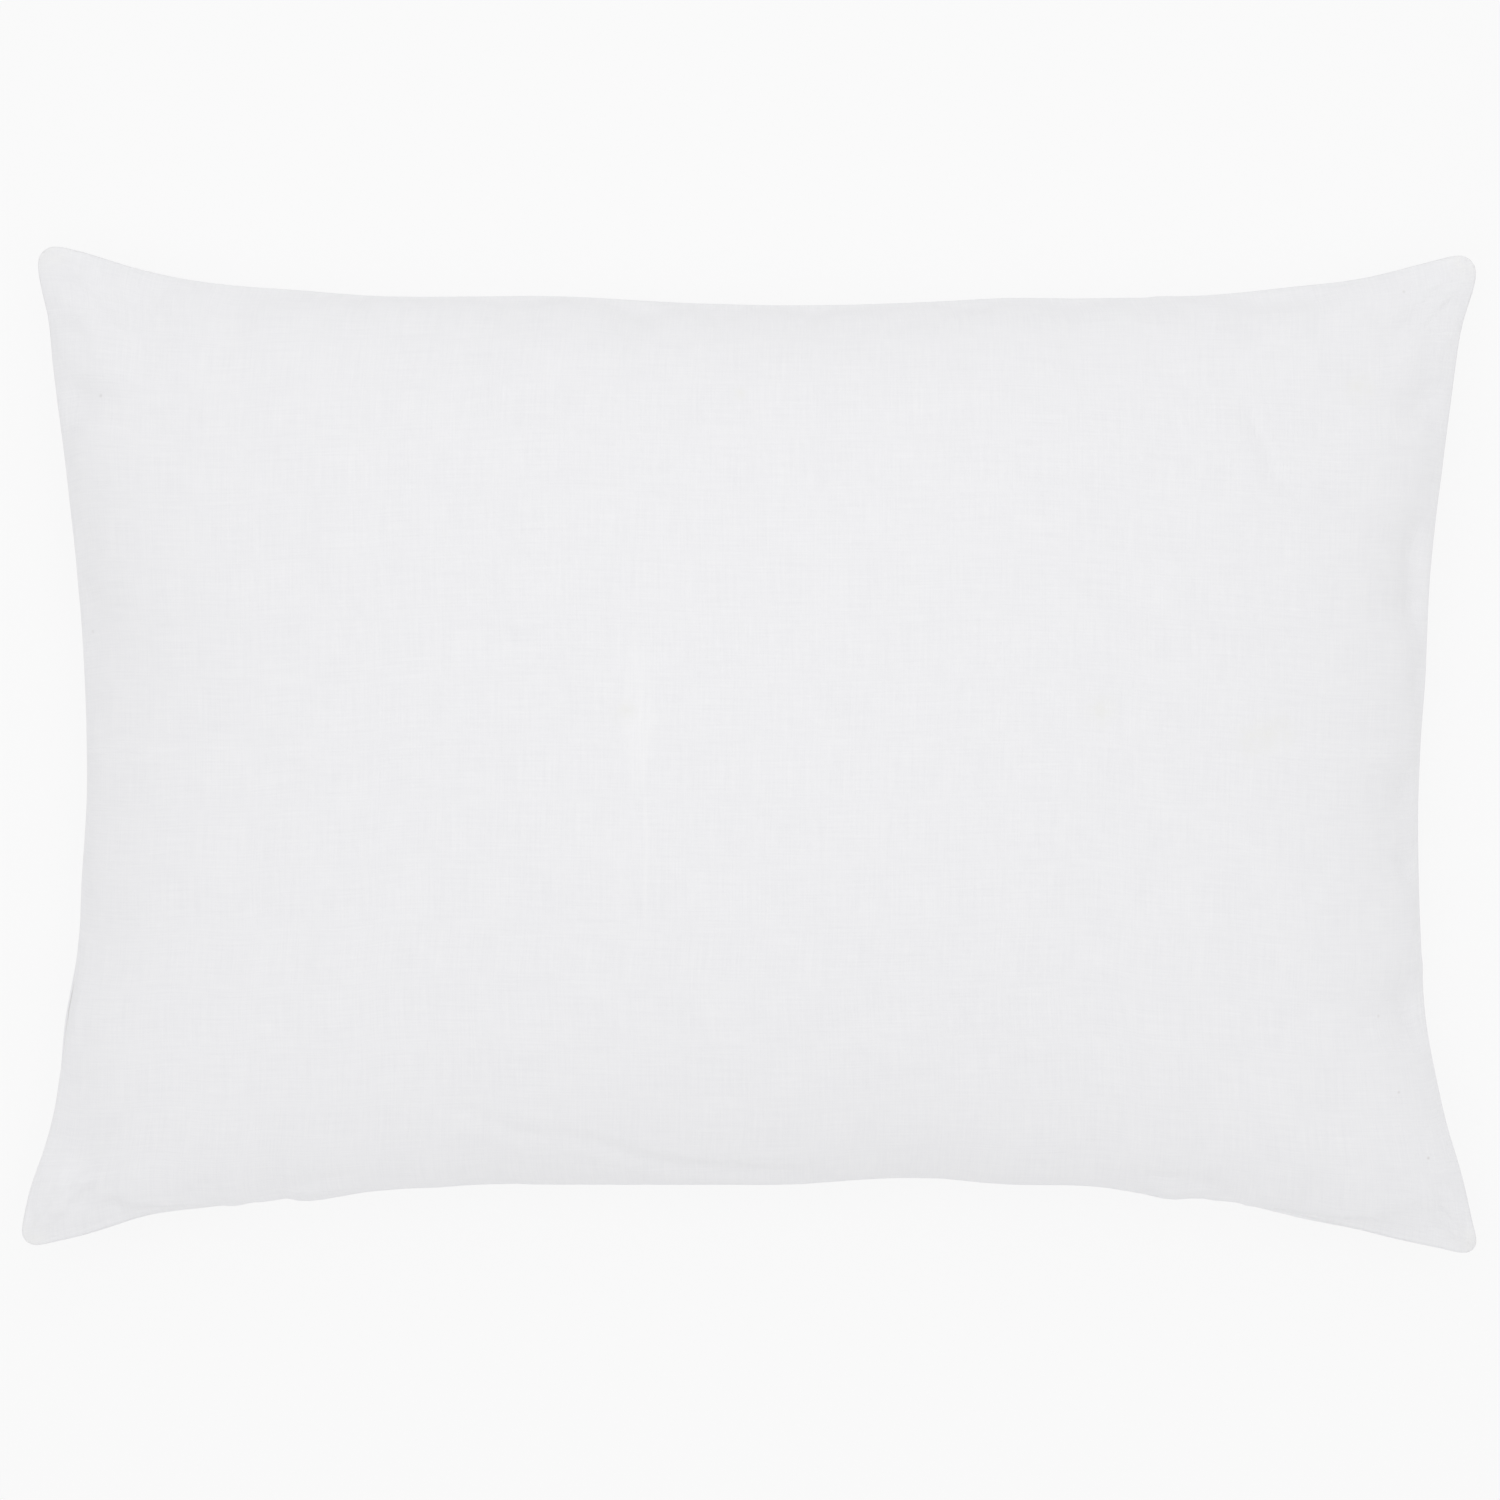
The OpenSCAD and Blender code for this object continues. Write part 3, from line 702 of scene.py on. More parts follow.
def flat_tips(grid, up):
    """The grid, with its corner tips pressed as flat as the turned-in cloth lets them be."""
    gap, nearest = nearest_edge(grid)
    seam = border(grid)[nearest, 2]
    side = 1 if up else -1
    height = (grid[..., 2] - seam) * side
    tips = np.array([COVER.corner(k, np.array([0.5]))[0] for k in range(4)])
    from_tip = np.linalg.norm(grid[:, :, None, :2] - tips, axis=-1).min(axis=-1)
    limit = gap * (0.9 + from_tip / 15) + 1e-6
    pressed = height * limit / np.hypot(height, limit)
    share = 1 - smooth_step(from_tip, 18, 48)
    layers = np.where(gap > 0, 1.3, 0)
    grid = grid.copy()
    grid[..., 2] = seam + side * np.hypot(layers, height + (pressed - height) * share)
    grid[..., 2] = np.maximum(grid[..., 2], 0)
    return grid


# ---- Materials -----------------------------------------------------------------------------
class Shader:
    """A material whose colour, roughness and bump are built from nodes."""

    def __init__(self, name, roughness, **sockets):
        self.material = bpy.data.materials.new(name)
        self.material.use_nodes = True
        self.tree = self.material.node_tree
        self.surface = self.tree.nodes["Principled BSDF"]
        self.surface.inputs["Roughness"].default_value = roughness
        for socket, value in sockets.items():
            self.surface.inputs[socket.replace("_", " ")].default_value = value

    def add(self, kind, *inputs, out=0, **settings):
        """A node's output, with its inputs filled in order by sockets or values."""
        made = self.tree.nodes.new("ShaderNode" + kind)
        for key, value in settings.items():
            setattr(made, key, value)
        for socket, value in zip(made.inputs, inputs):
            if isinstance(value, bpy.types.NodeSocket):
                self.tree.links.new(value, socket)
            else:
                socket.default_value = value
        return made.outputs[out]

    def math(self, operation, a, b=0.0):
        return self.add("Math", a, b, operation=operation)

    def mixed(self, a, share_a, b, share_b):
        """A weighted sum of two values."""
        a, b = self.math("MULTIPLY", a, share_a), self.math("MULTIPLY", b, share_b)
        return self.math("ADD", a, b)

    def ribs(self, along, pitch):
        """Rounded ribs, pitch apart, for a place along a line."""
        angle = self.math("MULTIPLY", along, math.pi / pitch)
        return self.math("ABSOLUTE", self.math("SINE", angle))

    def parts(self, place):
        """X, Y and Z of a place."""
        return self.add("SeparateXYZ", place).node.outputs

    def cloth_place(self):
        """Place on the flat cloth, in metres."""
        return self.add("Attribute", attribute_name="cloth", out=1)

    def object_place(self):
        """Place in the object's own space, in metres."""
        return self.add("TexCoord", out=3)

    def scaled(self, place, x, y, z=1.0):
        return self.add("VectorMath", place, (x, y, z), operation="MULTIPLY")

    def noise(self, place, detail=2.0, roughness=0.5):
        """Noise whose lumps are about 1 across at the place."""
        node = self.tree.nodes.new("ShaderNodeTexNoise")
        self.tree.links.new(place, node.inputs["Vector"])
        node.inputs["Scale"].default_value = 1.0
        node.inputs["Detail"].default_value = detail
        node.inputs["Roughness"].default_value = roughness
        return node.outputs["Fac"]

    def shades(self, factor, *stops):
        """A colour ramp with (position, colour) stops."""
        node = self.tree.nodes.new("ShaderNodeValToRGB")
        ramp = node.color_ramp
        for k, (position, colour) in enumerate(stops):
            stop = ramp.elements[k] if k < 2 else ramp.elements.new(position)
            stop.position = position
            stop.color = (*colour, 1)
        self.tree.links.new(factor, node.inputs["Fac"])
        return node.outputs["Color"]

    def blended(self, factor, colour, tint):
        """colour, with a plain tint mixed in by a factor."""
        node = self.tree.nodes.new("ShaderNodeMix")
        node.data_type = "RGBA"
        sockets = {socket.identifier: socket for socket in node.inputs}
        self.tree.links.new(factor, sockets["Factor_Float"])
        self.tree.links.new(colour, sockets["A_Color"])
        sockets["B_Color"].default_value = (*tint, 1)
        return next(socket for socket in node.outputs if socket.identifier == "Result_Color")

    def finish(self, colour, grain, roughness, bump, depth, strength, spread=(0.3, 0.7)):
        """The material, with its colour, roughness and bump linked. Its roughness goes from a
        low to a high value over the spread of the grain. depth is in metres."""
        roughness = self.add("MapRange", grain, *spread, *roughness)
        self.tree.links.new(colour, self.surface.inputs["Base Color"])
        self.tree.links.new(roughness, self.surface.inputs["Roughness"])
        node = self.tree.nodes.new("ShaderNodeBump")
        node.inputs["Strength"].default_value = strength
        node.inputs["Distance"].default_value = depth
        self.tree.links.new(bump, node.inputs["Height"])
        self.tree.links.new(node.outputs["Normal"], self.surface.inputs["Normal"])
        return self.material


def plain_weave(shader, place, pitch, stray):
    """Height of a plain weave of threads pitch apart, whose threads stray a little."""
    wobble = shader.noise(shader.scaled(place, 130, 130), detail=3.0)
    wobble = shader.math("MULTIPLY", shader.math("SUBTRACT", wobble, 0.5), stray)
    waves = []
    for axis in shader.parts(place)[:2]:
        moved = shader.math("ADD", axis, wobble)
        waves.append(shader.math("SINE", shader.math("MULTIPLY", moved, math.pi / pitch)))
    return shader.math("ABSOLUTE", shader.math("MULTIPLY", waves[0], waves[1]))


# Small faults in the face's weave, by place on the pillow and radius: dark neps and dull flecks
NEPS = (
    (-306, 167, 1.3), (-311, 56, 1.3), (311, 218, 1.3), (295, -125, 1.2), (305, -161, 1.2),
    (321, -193, 1.2),
)
FLECKS = (
    (-5, 164, 5), (-57, 17, 9), (160, 18, 11), (232, 5, 14), (243, 8, 13), (286, 169, 11),
)
# The tips of the corners are painted a little paler and warmer: a painted highlight
PAINTED_TIP_HIGHLIGHTS = tuple((0.982 * x, 0.975 * y, 14) for x, y in PILLOW_CORNERS)
# A thick place in a warp thread: place, half width, half length, strength
SLUBS = ((-51, 12, 9, 42, 0.42), (-47.5, -52, 1.6, 46, 0.3))


def near_mark(shader, place, centre, start, end, strength):
    """How strongly a mark shows: strength as far as start from its centre, and 0 from end on."""
    gap = shader.add("VectorMath", place, centre, operation="DISTANCE", out=1)
    return shader.add("MapRange", gap, start, end, strength, 0.0, interpolation_type="SMOOTHSTEP")


def marked_face(shader, colour, warp):
    """The colour, with the face's slubs, neps and flecks and a painted highlight on each corner
    tip.
    """
    here = shader.scaled(shader.object_place(), 1, 1, 0)
    uneven = shader.noise(shader.scaled(here, 190, 190), detail=3.0)
    uneven = shader.add("MapRange", uneven, 0.35, 0.65, 0.2, 1.0)
    for x, y, half_width, half_length, strength in SLUBS:
        shape = shader.scaled(here, 1 / (half_width * MM), 1 / (half_length * MM), 0)
        centre = (x / half_width, y / half_length, 0)
        near = near_mark(shader, shape, centre, start=0.4, end=1.0, strength=strength)
        near = shader.math("MULTIPLY", near, shader.math("MULTIPLY", warp, 1.6))
        colour = shader.blended(near, colour, (0.965, 0.965, 0.972))
    for spots, tint, share in (
        (NEPS, (0.45, 0.42, 0.4), 0.4),
        (FLECKS, (0.89, 0.889, 0.878), 0.9),
        # Painted highlight: the corner tips are painted paler and warmer
        (PAINTED_TIP_HIGHLIGHTS, (0.93, 0.928, 0.924), 0.9),
    ):
        for x, y, radius in spots:
            centre = (x * MM, y * MM, 0)
            near = near_mark(shader, here, centre, start=0.0, end=radius * MM, strength=share)
            colour = shader.blended(shader.math("MULTIPLY", near, uneven), colour, tint)
    return colour


def linen(name, marked):
    """Slubby plain-weave linen. Only the face is marked."""
    shader = Shader(name, 0.9, Sheen_Weight=0.25, Sheen_Roughness=0.5, Specular_IOR_Level=0.2)
    place = shader.cloth_place()
    warp = shader.noise(shader.scaled(place, 1250, 34), detail=3.0, roughness=0.65)
    weft = shader.noise(shader.scaled(place, 34, 1250), detail=3.0, roughness=0.65)
    thick = shader.noise(shader.scaled(place, 300, 22), detail=2.0)
    weave = plain_weave(shader, place, pitch=0.00055, stray=0.0011)
    mottle = shader.noise(shader.scaled(place, 46, 46), detail=3.0, roughness=0.6)
    threads = shader.math("MULTIPLY", shader.math("ADD", warp, weft), 0.5)
    tone = shader.mixed(threads, 0.7, mottle, 0.15)
    colour = shader.shades(tone, (0.265, (0.868, 0.868, 0.889)), (0.585, (0.938, 0.937, 0.95)))
    height = shader.mixed(weave, 0.6, threads, 1.3)
    height = shader.math("ADD", height, shader.math("MULTIPLY", thick, 0.5))
    if marked:
        colour = marked_face(shader, colour, warp)
    return shader.finish(colour, warp, (0.84, 0.96), height, depth=0.00022, strength=0.55)


def cotton():
    """Cream cotton, woven finely and a little streaky."""
    shader = Shader("ticking", 0.85, Sheen_Weight=0.15, Specular_IOR_Level=0.25)
    place = shader.cloth_place()
    weave = plain_weave(shader, place, pitch=0.00032, stray=0.0004)
    streak = shader.noise(shader.scaled(place, 1700, 60), detail=2.0)
    cloud = shader.noise(shader.scaled(place, 25, 25), detail=3.0)
    tone = shader.mixed(streak, 0.5, cloud, 0.5)
    colour = shader.shades(tone, (0.3, (0.86, 0.845, 0.8)), (0.7, (0.915, 0.9, 0.865)))
    height = shader.math("ADD", weave, shader.math("MULTIPLY", streak, 0.4))
    return shader.finish(colour, cloud, (0.78, 0.9), height, depth=0.00008, strength=0.5)


def sewing_thread():
    """Two-ply thread with its plies slanting round it; its dark bands are painted shade in the
    grooves.
    """
    shader = Shader("thread", 0.6, Sheen_Weight=0.3, Specular_IOR_Level=0.4)
    place = shader.cloth_place()
    along, around = shader.parts(place)[:2]
    slant = shader.mixed(along, 5200, around, 4600)
    ply_ridges_and_groove_shade = shader.math("ABSOLUTE", shader.math("SINE", slant))
    fuzz = shader.noise(shader.scaled(place, 900, 900), detail=2.0)
    # Painted shade: the colour is darkest in the grooves between the plies, where the bump is
    # lowest
    colour = shader.shades(ply_ridges_and_groove_shade, (0.0, (0.74, 0.74, 0.73)), (0.5, (0.93, 0.93, 0.92)))
    return shader.finish(colour, fuzz, (0.5, 0.75), ply_ridges_and_groove_shade, depth=0.00006, strength=0.6)


def fibre():
    """Loose polyester fibre: tufts with fine strands."""
    shader = Shader("fibre", 0.95, Sheen_Weight=0.5, Subsurface_Weight=0.15, Specular_IOR_Level=0.2)
    place = shader.object_place()
    tuft = shader.noise(shader.scaled(place, 90, 90, 90), detail=6.0, roughness=0.7)
    strand = shader.noise(shader.scaled(place, 1600, 240, 900), detail=4.0, roughness=0.7)
    colour = shader.shades(tuft, (0.3, (0.86, 0.86, 0.86)), (0.65, (0.97, 0.97, 0.97)))
    height = shader.math("ADD", tuft, shader.math("MULTIPLY", strand, 0.5))
    return shader.finish(colour, strand, (0.88, 1.0), height, depth=0.0012, strength=0.7)


def woven_tape():
    """Twill tape: slanted ribs that turn back at its middle."""
    shader = Shader("tape", 0.75, Sheen_Weight=0.2, Specular_IOR_Level=0.3)
    place = shader.cloth_place()
    along, across = shader.parts(place)[:2]
    middle = shader.math("ABSOLUTE", shader.math("SUBTRACT", across, 0.0063))
    rib_and_groove_shade = shader.ribs(shader.math("ADD", along, middle), 0.0009)
    wear = shader.noise(shader.scaled(place, 200, 200), detail=3.0)
    # The colour is partly uneven wear and partly painted shade, darker in the grooves between the
    # ribs
    tone = shader.mixed(rib_and_groove_shade, 0.6, wear, 0.4)
    colour = shader.shades(tone, (0.15, (0.8, 0.8, 0.8)), (0.75, (0.92, 0.92, 0.92)))
    return shader.finish(colour, wear, (0.68, 0.82), rib_and_groove_shade, depth=0.0001, strength=0.6)


def satin_label():
    """Satin-woven label tape, left blank."""
    shader = Shader("label", 0.45, Sheen_Weight=0.3, Specular_IOR_Level=0.4)
    place = shader.cloth_place()
    rib_and_groove_shade = shader.ribs(shader.parts(place)[0], 0.0004)
    streak = shader.noise(shader.scaled(place, 2500, 90), detail=2.0)
    # The colour is partly random streaks and partly painted shade, darker in the grooves between
    # the ribs
    tone = shader.mixed(rib_and_groove_shade, 0.4, streak, 0.6)
    colour = shader.shades(tone, (0.2, (0.84, 0.84, 0.83)), (0.7, (0.94, 0.94, 0.93)))
    return shader.finish(colour, streak, (0.36, 0.52), rib_and_groove_shade, depth=0.00004, strength=0.5)


def nylon_wire():
    """Drawn nylon, faintly streaked along its length."""
    shader = Shader("nylon", 0.32, Subsurface_Weight=0.1, Specular_IOR_Level=0.5)
    place = shader.cloth_place()
    draw = shader.noise(shader.scaled(place, 60, 3500), detail=2.0)
    colour = shader.shades(draw, (0.3, (0.88, 0.88, 0.88)), (0.7, (0.95, 0.95, 0.95)))
    return shader.finish(colour, draw, (0.26, 0.4), draw, depth=0.00002, strength=0.3)


def painted_metal():
    """White enamel on die-cast zinc, a little uneven and dulled where it rubs."""
    shader = Shader("enamel", 0.3, Coat_Weight=0.35, Coat_Roughness=0.15)
    place = shader.object_place()
    flow = shader.noise(shader.scaled(place, 350, 350, 350), detail=3.0)
    rub = shader.noise(shader.scaled(place, 1400, 1400, 1400), detail=4.0, roughness=0.65)
    worn = shader.add("MapRange", rub, 0.72, 0.8, 0.0, 1.0)
    colour = shader.shades(flow, (0.3, (0.87, 0.87, 0.87)), (0.7, (0.93, 0.93, 0.93)))
    colour = shader.blended(worn, colour, (0.72, 0.72, 0.71))
    return shader.finish(colour, rub, (0.22, 0.45), flow, depth=0.00005, strength=0.35,
                         spread=(0.3, 0.8))


def pressed_aluminium():
    """Bare aluminium strip, brushed one way."""
    shader = Shader("aluminium", 0.35, Metallic=1.0)
    place = shader.object_place()
    brushed = shader.noise(shader.scaled(place, 5000, 400, 400), detail=3.0)
    colour = shader.shades(brushed, (0.3, (0.7, 0.7, 0.71)), (0.7, (0.86, 0.86, 0.87)))
    return shader.finish(colour, brushed, (0.28, 0.48), brushed, depth=0.00003, strength=0.4)


# ---- Stage ---------------------------------------------------------------------------------
def make_camera():
    """A long lens straight above the pillow, as in the photo."""
    scene = bpy.context.scene
    scene.view_settings.view_transform = "Standard"
    data = bpy.data.cameras.new("camera")
    data.lens = 100
    frame_width = 714 * MM
    distance = frame_width * data.lens / data.sensor_width
    scene.camera = in_scene("camera", data)
    scene.camera.location = (0, 0, SEAM_Z * MM + distance)


def make_floor():
    """A pale floor that glows a little, so that it is as pale as the photo's background."""
    reach, level = 10000, -0.5
    corners = [(x * reach, y * reach, level) for x, y in ((-1, -1), (1, -1), (1, 1), (-1, 1))]
    floor = in_scene("floor", new_mesh("floor", corners, [(0, 1, 2, 3)]))
    paint = Shader("floor", 1.0, Specular_IOR_Level=0.0, Emission_Strength=0.76)
    paint.surface.inputs["Base Color"].default_value = (0.2, 0.2, 0.2, 1)
    paint.surface.inputs["Emission Color"].default_value = (1, 1, 1, 1)
    floor.data.materials.append(paint.material)


def make_world():
    """Even white light from all round. Past the floor's far edge it looks as pale as the floor."""
    lighting, seen = 0.77, 0.914
    world = bpy.data.worlds.new("studio")
    world.use_nodes = True
    tree = world.node_tree
    sky = tree.nodes["Background"]
    sky.inputs["Color"].default_value = (1, 1, 1, 1)
    camera_ray = tree.nodes.new("ShaderNodeLightPath").outputs["Is Camera Ray"]
    strength = tree.nodes.new("ShaderNodeMapRange")
    strength.inputs["To Min"].default_value = lighting
    strength.inputs["To Max"].default_value = seen
    tree.links.new(camera_ray, strength.inputs["Value"])
    tree.links.new(strength.outputs["Result"], sky.inputs["Strength"])
    bpy.context.scene.world = world


# Each lamp's place, width and power
SOFTBOXES = {
    "top_softbox": ((0, 1.3, 1.5), 1.4, 2.4),
    "overhead_softbox": ((-0.02, -0.02, 2.6), 2.0, 12.6),
}


def make_lights():
    """Broad soft lamps that face the pillow. The camera can't see them."""
    for name, (place, size, power) in SOFTBOXES.items():
        data = bpy.data.lights.new(name, "AREA")
        data.size = size
        data.energy = power
        light = in_scene(name, data)
        light.location = place
        light.rotation_euler = (-Vector(place)).to_track_quat("-Z", "Y").to_euler()
        light.visible_camera = False


# ---- Threads -------------------------------------------------------------------------------
def seam_line(outline, spacing, first=-1.0, last=-1.0):
    """Places along a bag's seam, spacing apart, counter-clockwise from w = first on the bottom
    side round to w = last on it, with the level way out of the bag at each place."""
    runs = [(3, np.linspace(first, 1, 900)[:-1])] if first > -1 else []
    runs += [(i, np.linspace(-1, 1, 1200)[:-1]) for i in range(3)]
    runs.append((3, np.linspace(-1, last if last > -1 else 1, 900)))
    line = np.concatenate([
        np.column_stack([outline.edge(i, w), SEAM_Z - droop(1, w)]) for i, w in runs
    ])
    line[:, 2] += seam_drift(line[:, :1], line[:, 1:2]).ravel()
    arc = distances(line)
    places = np.linspace(0, arc[-1], int(arc[-1] / spacing) + 1)
    line = np.column_stack([np.interp(places, arc, line[:, k]) for k in range(3)])
    along = np.gradient(line[:, :2], axis=0)
    return line, unit(np.column_stack([along[:, 1], -along[:, 0], 0 * along[:, 0]]))


# Path points in one lockstitch and in one turn of the overlock
LOCKSTITCH_STEPS, OVERLOCK_STEPS = 4, 7
# The zip runs from minus this place to this place on the bottom side
ZIP_END = 0.47


def lockstitch(line, out, height, radius):
    """Needle and bobbin thread on either side of a seam: each lies height off its middle, but
    for the place in each stitch where the two threads meet in the cloth."""
    meet = np.arange(len(line)) % LOCKSTITCH_STEPS == 0
    lift = np.array([0, 0, height]) * np.where(meet, 0.25, 1.0)[:, None]
    return joined([tube(line + way * lift, radius, sides=4, reference=out) for way in (1, -1)])


def overlock(line, out, centre, reach, height, radius):
    """Thread wound round two raw edges. centre is how far inside the line it winds about."""
    turn = 2 * math.pi * np.arange(len(line)) / OVERLOCK_STEPS
    inside = centre + reach * np.cos(turn)
    path = line - out * inside[:, None]
    path[:, 2] += height * np.sin(turn)
    along = np.cross(out, (0, 0, 1))
    return tube(path, radius, sides=4, reference=along)


def build_threads(thread):
    """The cover's lockstitches and overlock, and the insert's lockstitches."""
    sewn = Outline(PILLOW_CORNERS, PULLS, inset=1.2, waves=SEAM_WAVES)
    line, out = seam_line(sewn, 2.5 / LOCKSTITCH_STEPS, first=ZIP_END, last=-ZIP_END)
    seam = lockstitch(line, out, height=LINEN + 0.25, radius=0.16)
    line, out = seam_line(COVER, 2.6 / OVERLOCK_STEPS, first=ZIP_END, last=-ZIP_END)
    edge = overlock(line, out, centre=5.8, reach=1.9, height=1.1, radius=0.15)
    insert = Outline(PILLOW_CORNERS, PULLS, inset=INSERT_INSET + 1.2)
    line, out = seam_line(insert, 3.0 / LOCKSTITCH_STEPS)
    inner = lockstitch(line, out, height=0.2, radius=0.14)
    for name, (points, faces, cloth), node in (
        ("seam_stitches", seam, "cover_seam_thread"),
        ("overlock_stitches", edge, "cover_overlock_thread"),
        ("insert_stitches", inner, "ticking_seam_thread"),
    ):
        settle(make_object(name, points, faces, thread, cloth), node)


def settle(piece, node):
    """A piece stays with the pillow, and the CAD node that it stands for is hidden."""
    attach(piece, "pillow")
    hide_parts(node)


# ---- Insert --------------------------------------------------------------------------------
def under(grid, cover, up, space):
    """The grid, kept at least a space inside the cover, measured up or down."""
    rows, columns = cover.shape[:2]
    tree = BVHTree.FromPolygons((cover.reshape(-1, 3)).tolist(), grid_faces(rows, columns))
    kept = grid.copy()
    way = Vector((0, 0, 1 if up else -1))
    for place in kept.reshape(-1, 3):
        hit = tree.ray_cast(Vector((place[0], place[1], SEAM_Z)), way)[0]
        if hit is not None:
            limit = hit.z - way.z * space
            place[2] = min(place[2], limit) if up else max(place[2], limit)
    return kept


# Steps along and across each half of the insert
INSERT_GRID = (100, 70)


def build_cotton(cover_faces, ticking):
    """The insert's two cotton panels, each kept inside the cover's. Gives their outer faces."""
    outline = Outline(PILLOW_CORNERS, PULLS, inset=INSERT_INSET)
    u, v = unit_grid(*INSERT_GRID)
    flat = np.dstack([u * INSERT_CUT[0] / 2, v * INSERT_CUT[1] / 2])
    inside_seam = swell(u, v, 4, 1)[..., None]
    grids = []
    for up, end, cover in ((True, "front", cover_faces[0]), (False, "back", cover_faces[1])):
        grid = half_grid(outline, up, LINEN + 1.5, *INSERT_GRID)
        uneven = 0.6 * noise_at(grid, 40, 11 + up) - 0.6
        grid += normals(grid, up) * uneven[..., None] * inside_seam
        grid = under(grid, cover, up, LINEN + 1.2)
        grids.append(grid)
        piece = panel("cotton_" + end, grid, flat, up, ticking, thickness=TICKING, curl=0.5,
                      allowance=0.9, gap=False)
        settle(piece, "ticking_" + end)
    return grids


def build_fill(cotton_faces, fibre):
    """The fibre fill, lumpy all over, kept inside the insert's cotton."""
    outline = Outline(PILLOW_CORNERS, PULLS, inset=INSERT_INSET + 2.2)
    u, v = unit_grid(*INSERT_GRID)
    halves = []
    for up, cotton in ((True, cotton_faces[0]), (False, cotton_faces[1])):
        grid = half_grid(outline, up, LINEN + TICKING + 2.3, *INSERT_GRID)
        lumps = 1.2 * noise_at(grid, 26, 21 + up) + 0.5 * noise_at(grid, 9, 23 + up) - 1.4
        grid += normals(grid, up) * (lumps * swell(u, v, 6, 1))[..., None]
        halves.append(under(grid, cotton, up, TICKING + 0.6))
    points, faces, _ = closed_bag(*halves)
    fill = make_object("fibre_fill", points, faces, fibre)
    settle(fill, "fill")


def build_piping(ticking):
    """A cord in a bias strip, whose cloth gathers a little round the corners."""
    radius, sides = 1.4, 10
    outline = Outline(PILLOW_CORNERS, PULLS, inset=INSERT_INSET - 1.6)
    line, out = (part[:-1] for part in seam_line(outline, 3.0))
    points, faces, cloth = tube(line, radius, sides, out, closed=True)
    rings = points.reshape(-1, sides, 3)
    folds = 1 + 0.05 * noise_at(line, 6, 31)
    rings = line[:, None] + (rings - line[:, None]) * folds[:, None, None]
    piece = make_object("piping", rings.reshape(-1, 3), faces, ticking, cloth)
    settle(piece, "ticking_piping")


# ---- Labels and zip ------------------------------------------------------------------------
def slab(grid, flat, offset):
    """A thin closed sheet from a grid on one face. offset is the step to the other face."""
    rows, columns = grid.shape[:2]
    count = rows * columns
    faces = grid_faces(rows, columns) + grid_faces(rows, columns, start=count, flip=True)
    edge = border_numbers(rows, columns)
    faces += strip_faces(edge, edge + count, flip=True)
    points = np.concatenate([grid.reshape(-1, 3), (grid + offset).reshape(-1, 3)])
    cloth = np.concatenate([flat.reshape(-1, 2)] * 2)
    return points, faces, cloth


def build_labels(label):
    """Blank woven labels, one inside the cover and one on the insert."""
    thickness = 0.35
    s, t = np.meshgrid(np.linspace(0, 1, 35), np.linspace(0, 1, 13))
    for name, node, along, size, bend in (
        ("label_of_cover", "care_label", 0, (34, 16), 0.5),
        ("label_of_insert", "insert_label", 1, (42, 12), 0.25),
    ):
        low, high = cad_box(node)
        length, depth, height = (high - low)[[along, 1 - along, 2]]
        lean = s * max(0.0, depth - 0.4)
        curl = bend * np.sin(2.2 * s + 0.4) * (1 - t)
        grid = np.zeros((*s.shape, 3))
        grid[..., along] = low[along] + s * length
        grid[..., 1 - along] = low[1 - along] + lean + curl
        grid[..., 2] = low[2] + t * height
        offset = np.zeros(3)
        offset[1 - along] = thickness
        points, faces, cloth = slab(grid, np.dstack([s * size[0], t * size[1]]), offset)
        piece = make_object(name, points, faces, label, cloth)
        settle(piece, node)


# Just outside the coils. Both tapes and coils are placed inwards from here
ZIP_Y = cad_box("zip_coil_front")[0][1] - 2.8
HALF_TAPE = cad_box("zip_tape_front")[1][0]
# A tape's section: inwards from ZIP_Y, and up or down from SEAM_Z
TAPE_SECTION = ((4.6, 0.95), (4.6, 3.9), (3.0, 7.0), (4.6, 13.0))


def rounded_line(corners, count):
    """A smooth line of count places past a few corners."""
    corners = np.array(corners)
    arc = distances(corners)
    places = np.linspace(0, arc[-1], count)
    line = np.column_stack([np.interp(places, arc, corners[:, k]) for k in range(2)])
    for _ in range(3):
        line[1:-1] = (line[:-2] + 2 * line[1:-1] + line[2:]) / 4
    return line, arc[-1]


def build_tape(way, end, tape_cloth):
    """One of the zip's tapes, which turns away from the seam at its coil."""
    section, width = rounded_line(TAPE_SECTION, 19)
    x = np.linspace(-HALF_TAPE, HALF_TAPE, 141)
    grid = np.zeros((len(section), len(x), 3))
    grid[..., 0] = x
    grid[..., 1] = ZIP_Y + section[:, :1]
    grid[..., 2] = SEAM_Z + way * section[:, 1:]
    flat = np.dstack(np.broadcast_arrays(x, np.linspace(0, width, len(section))[:, None]))
    points, faces, cloth = slab(grid, flat, offset=np.array([0, 0.4, 0]))
    piece = make_object("tape_" + end, points, faces, tape_cloth, cloth)
    settle(piece, "zip_tape_" + end)


def build_coil(way, end, nylon):
    """One of the zip's coils, a helix of nylon wire on its tape's edge."""
    pitch, steps = 1.45, 14
    turns = int(2 * ZIP_HALF / pitch)
    angle = 2 * math.pi * np.arange(turns * steps + 1) / steps
    path = np.column_stack([
        (angle / (2 * math.pi) - turns / 2) * pitch,
        ZIP_Y + 3.7 + 0.6 * np.cos(angle),
        SEAM_Z + way * (1.55 + 0.78 * np.sin(angle)),
    ])
    points, faces, cloth = tube(path, radius=0.27, sides=6, reference=(1, 0, 0))
    piece = make_object("coil_" + end, points, faces, nylon, cloth)
    settle(piece, "zip_coil_" + end)


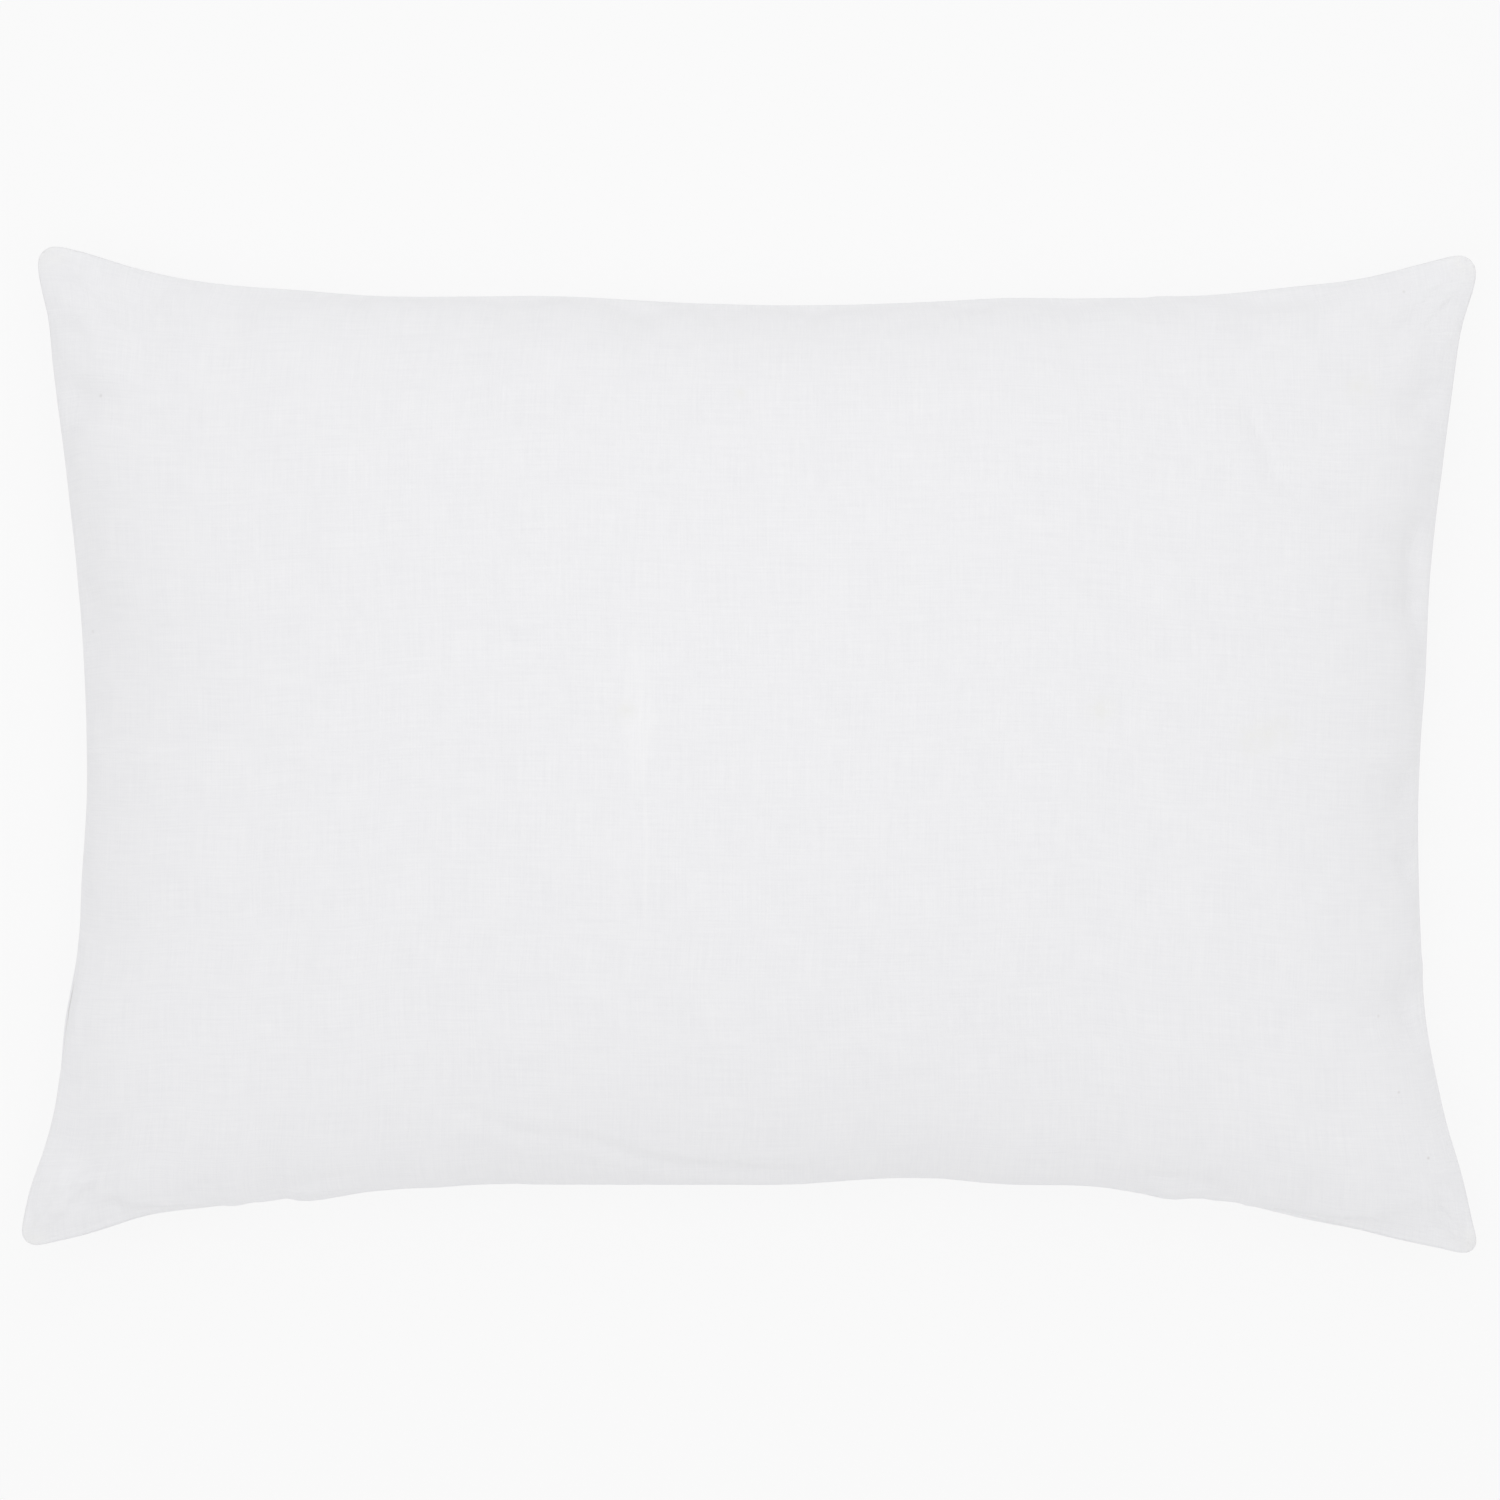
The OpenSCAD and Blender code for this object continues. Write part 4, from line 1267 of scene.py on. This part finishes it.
def build_zip_stitches(thread):
    """A row of stitches through each tape, and a bar tack across both at each end."""
    parts = []
    for way in (1, -1):
        places = np.arange(4 - HALF_TAPE, HALF_TAPE - 4, 0.65)
        lift = np.where(np.arange(len(places)) % LOCKSTITCH_STEPS == 0, -0.25, 0.12)
        path = np.column_stack([places, ZIP_Y + 5.1 + lift, 0 * places + SEAM_Z + way * 4.6])
        parts.append(tube(path, radius=0.17, sides=5, reference=(0, 0, 1)))
        turns = np.arange(25)
        tack = np.column_stack([
            way * (HALF_TAPE - 3) + 0.12 * (turns - 12),
            0 * turns + ZIP_Y + 5.3,
            SEAM_Z + np.where(turns % 2, 3.6, -3.6),
        ])
        parts.append(tube(tack, radius=0.15, sides=5, reference=(0, 1, 0)))
    points, faces, cloth = joined(parts)
    settle(make_object("zip_stitches", points, faces, thread, cloth), "zip_stitching")


def repaint(node, material, bevel):
    """A CAD node keeps its shape, with its edges softened, and gets a finished material."""
    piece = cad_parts[node]
    for place in piece.material_slots:
        place.material = material
    weld = piece.modifiers.new("weld", "WELD")
    weld.merge_threshold = 1e-6
    soften = piece.modifiers.new("soften", "BEVEL")
    soften.width = bevel * MM
    soften.segments = 2
    soften.limit_method = "ANGLE"
    soften.angle_limit = math.radians(40)
    soften.harden_normals = False


# ---- The pillow ----------------------------------------------------------------------------
def build_cover():
    """The two linen panels. Gives their outer faces."""
    front, back, flat = cover_grids()
    grids = finished(front, flat, True), finished(back, flat, False)
    for up, grid, end in ((True, grids[0], "front"), (False, grids[1], "back")):
        name = "linen_" + end
        piece = panel(name, grid, flat, up, linen(name, marked=up))
        settle(piece, "cover_" + end)
    return grids


def build_insert(cover_faces, ticking):
    """The insert inside the cover: its cotton, its fill and its piping."""
    build_fill(build_cotton(cover_faces, ticking), fibre())
    build_piping(ticking)


def build_zip(thread):
    """The zip's tapes, coils and stitches. Its metal keeps the CAD model's shape."""
    tape_cloth, nylon = woven_tape(), nylon_wire()
    for way, end in ((1, "front"), (-1, "back")):
        build_tape(way, end, tape_cloth)
        build_coil(way, end, nylon)
    build_zip_stitches(thread)
    enamel, aluminium = painted_metal(), pressed_aluminium()
    for node, material, bevel in (
        ("zip_slider", enamel, 0.14),
        ("zip_pull", enamel, 0.14),
        ("zip_top_stops", aluminium, 0.3),
        ("zip_bottom_stop", aluminium, 0.3),
    ):
        repaint(node, material, bevel)


make_camera()
make_floor()
make_world()
make_lights()
cover_faces = build_cover()
thread = sewing_thread()
build_threads(thread)
build_insert(cover_faces, cotton())
build_labels(satin_label())
build_zip(thread)
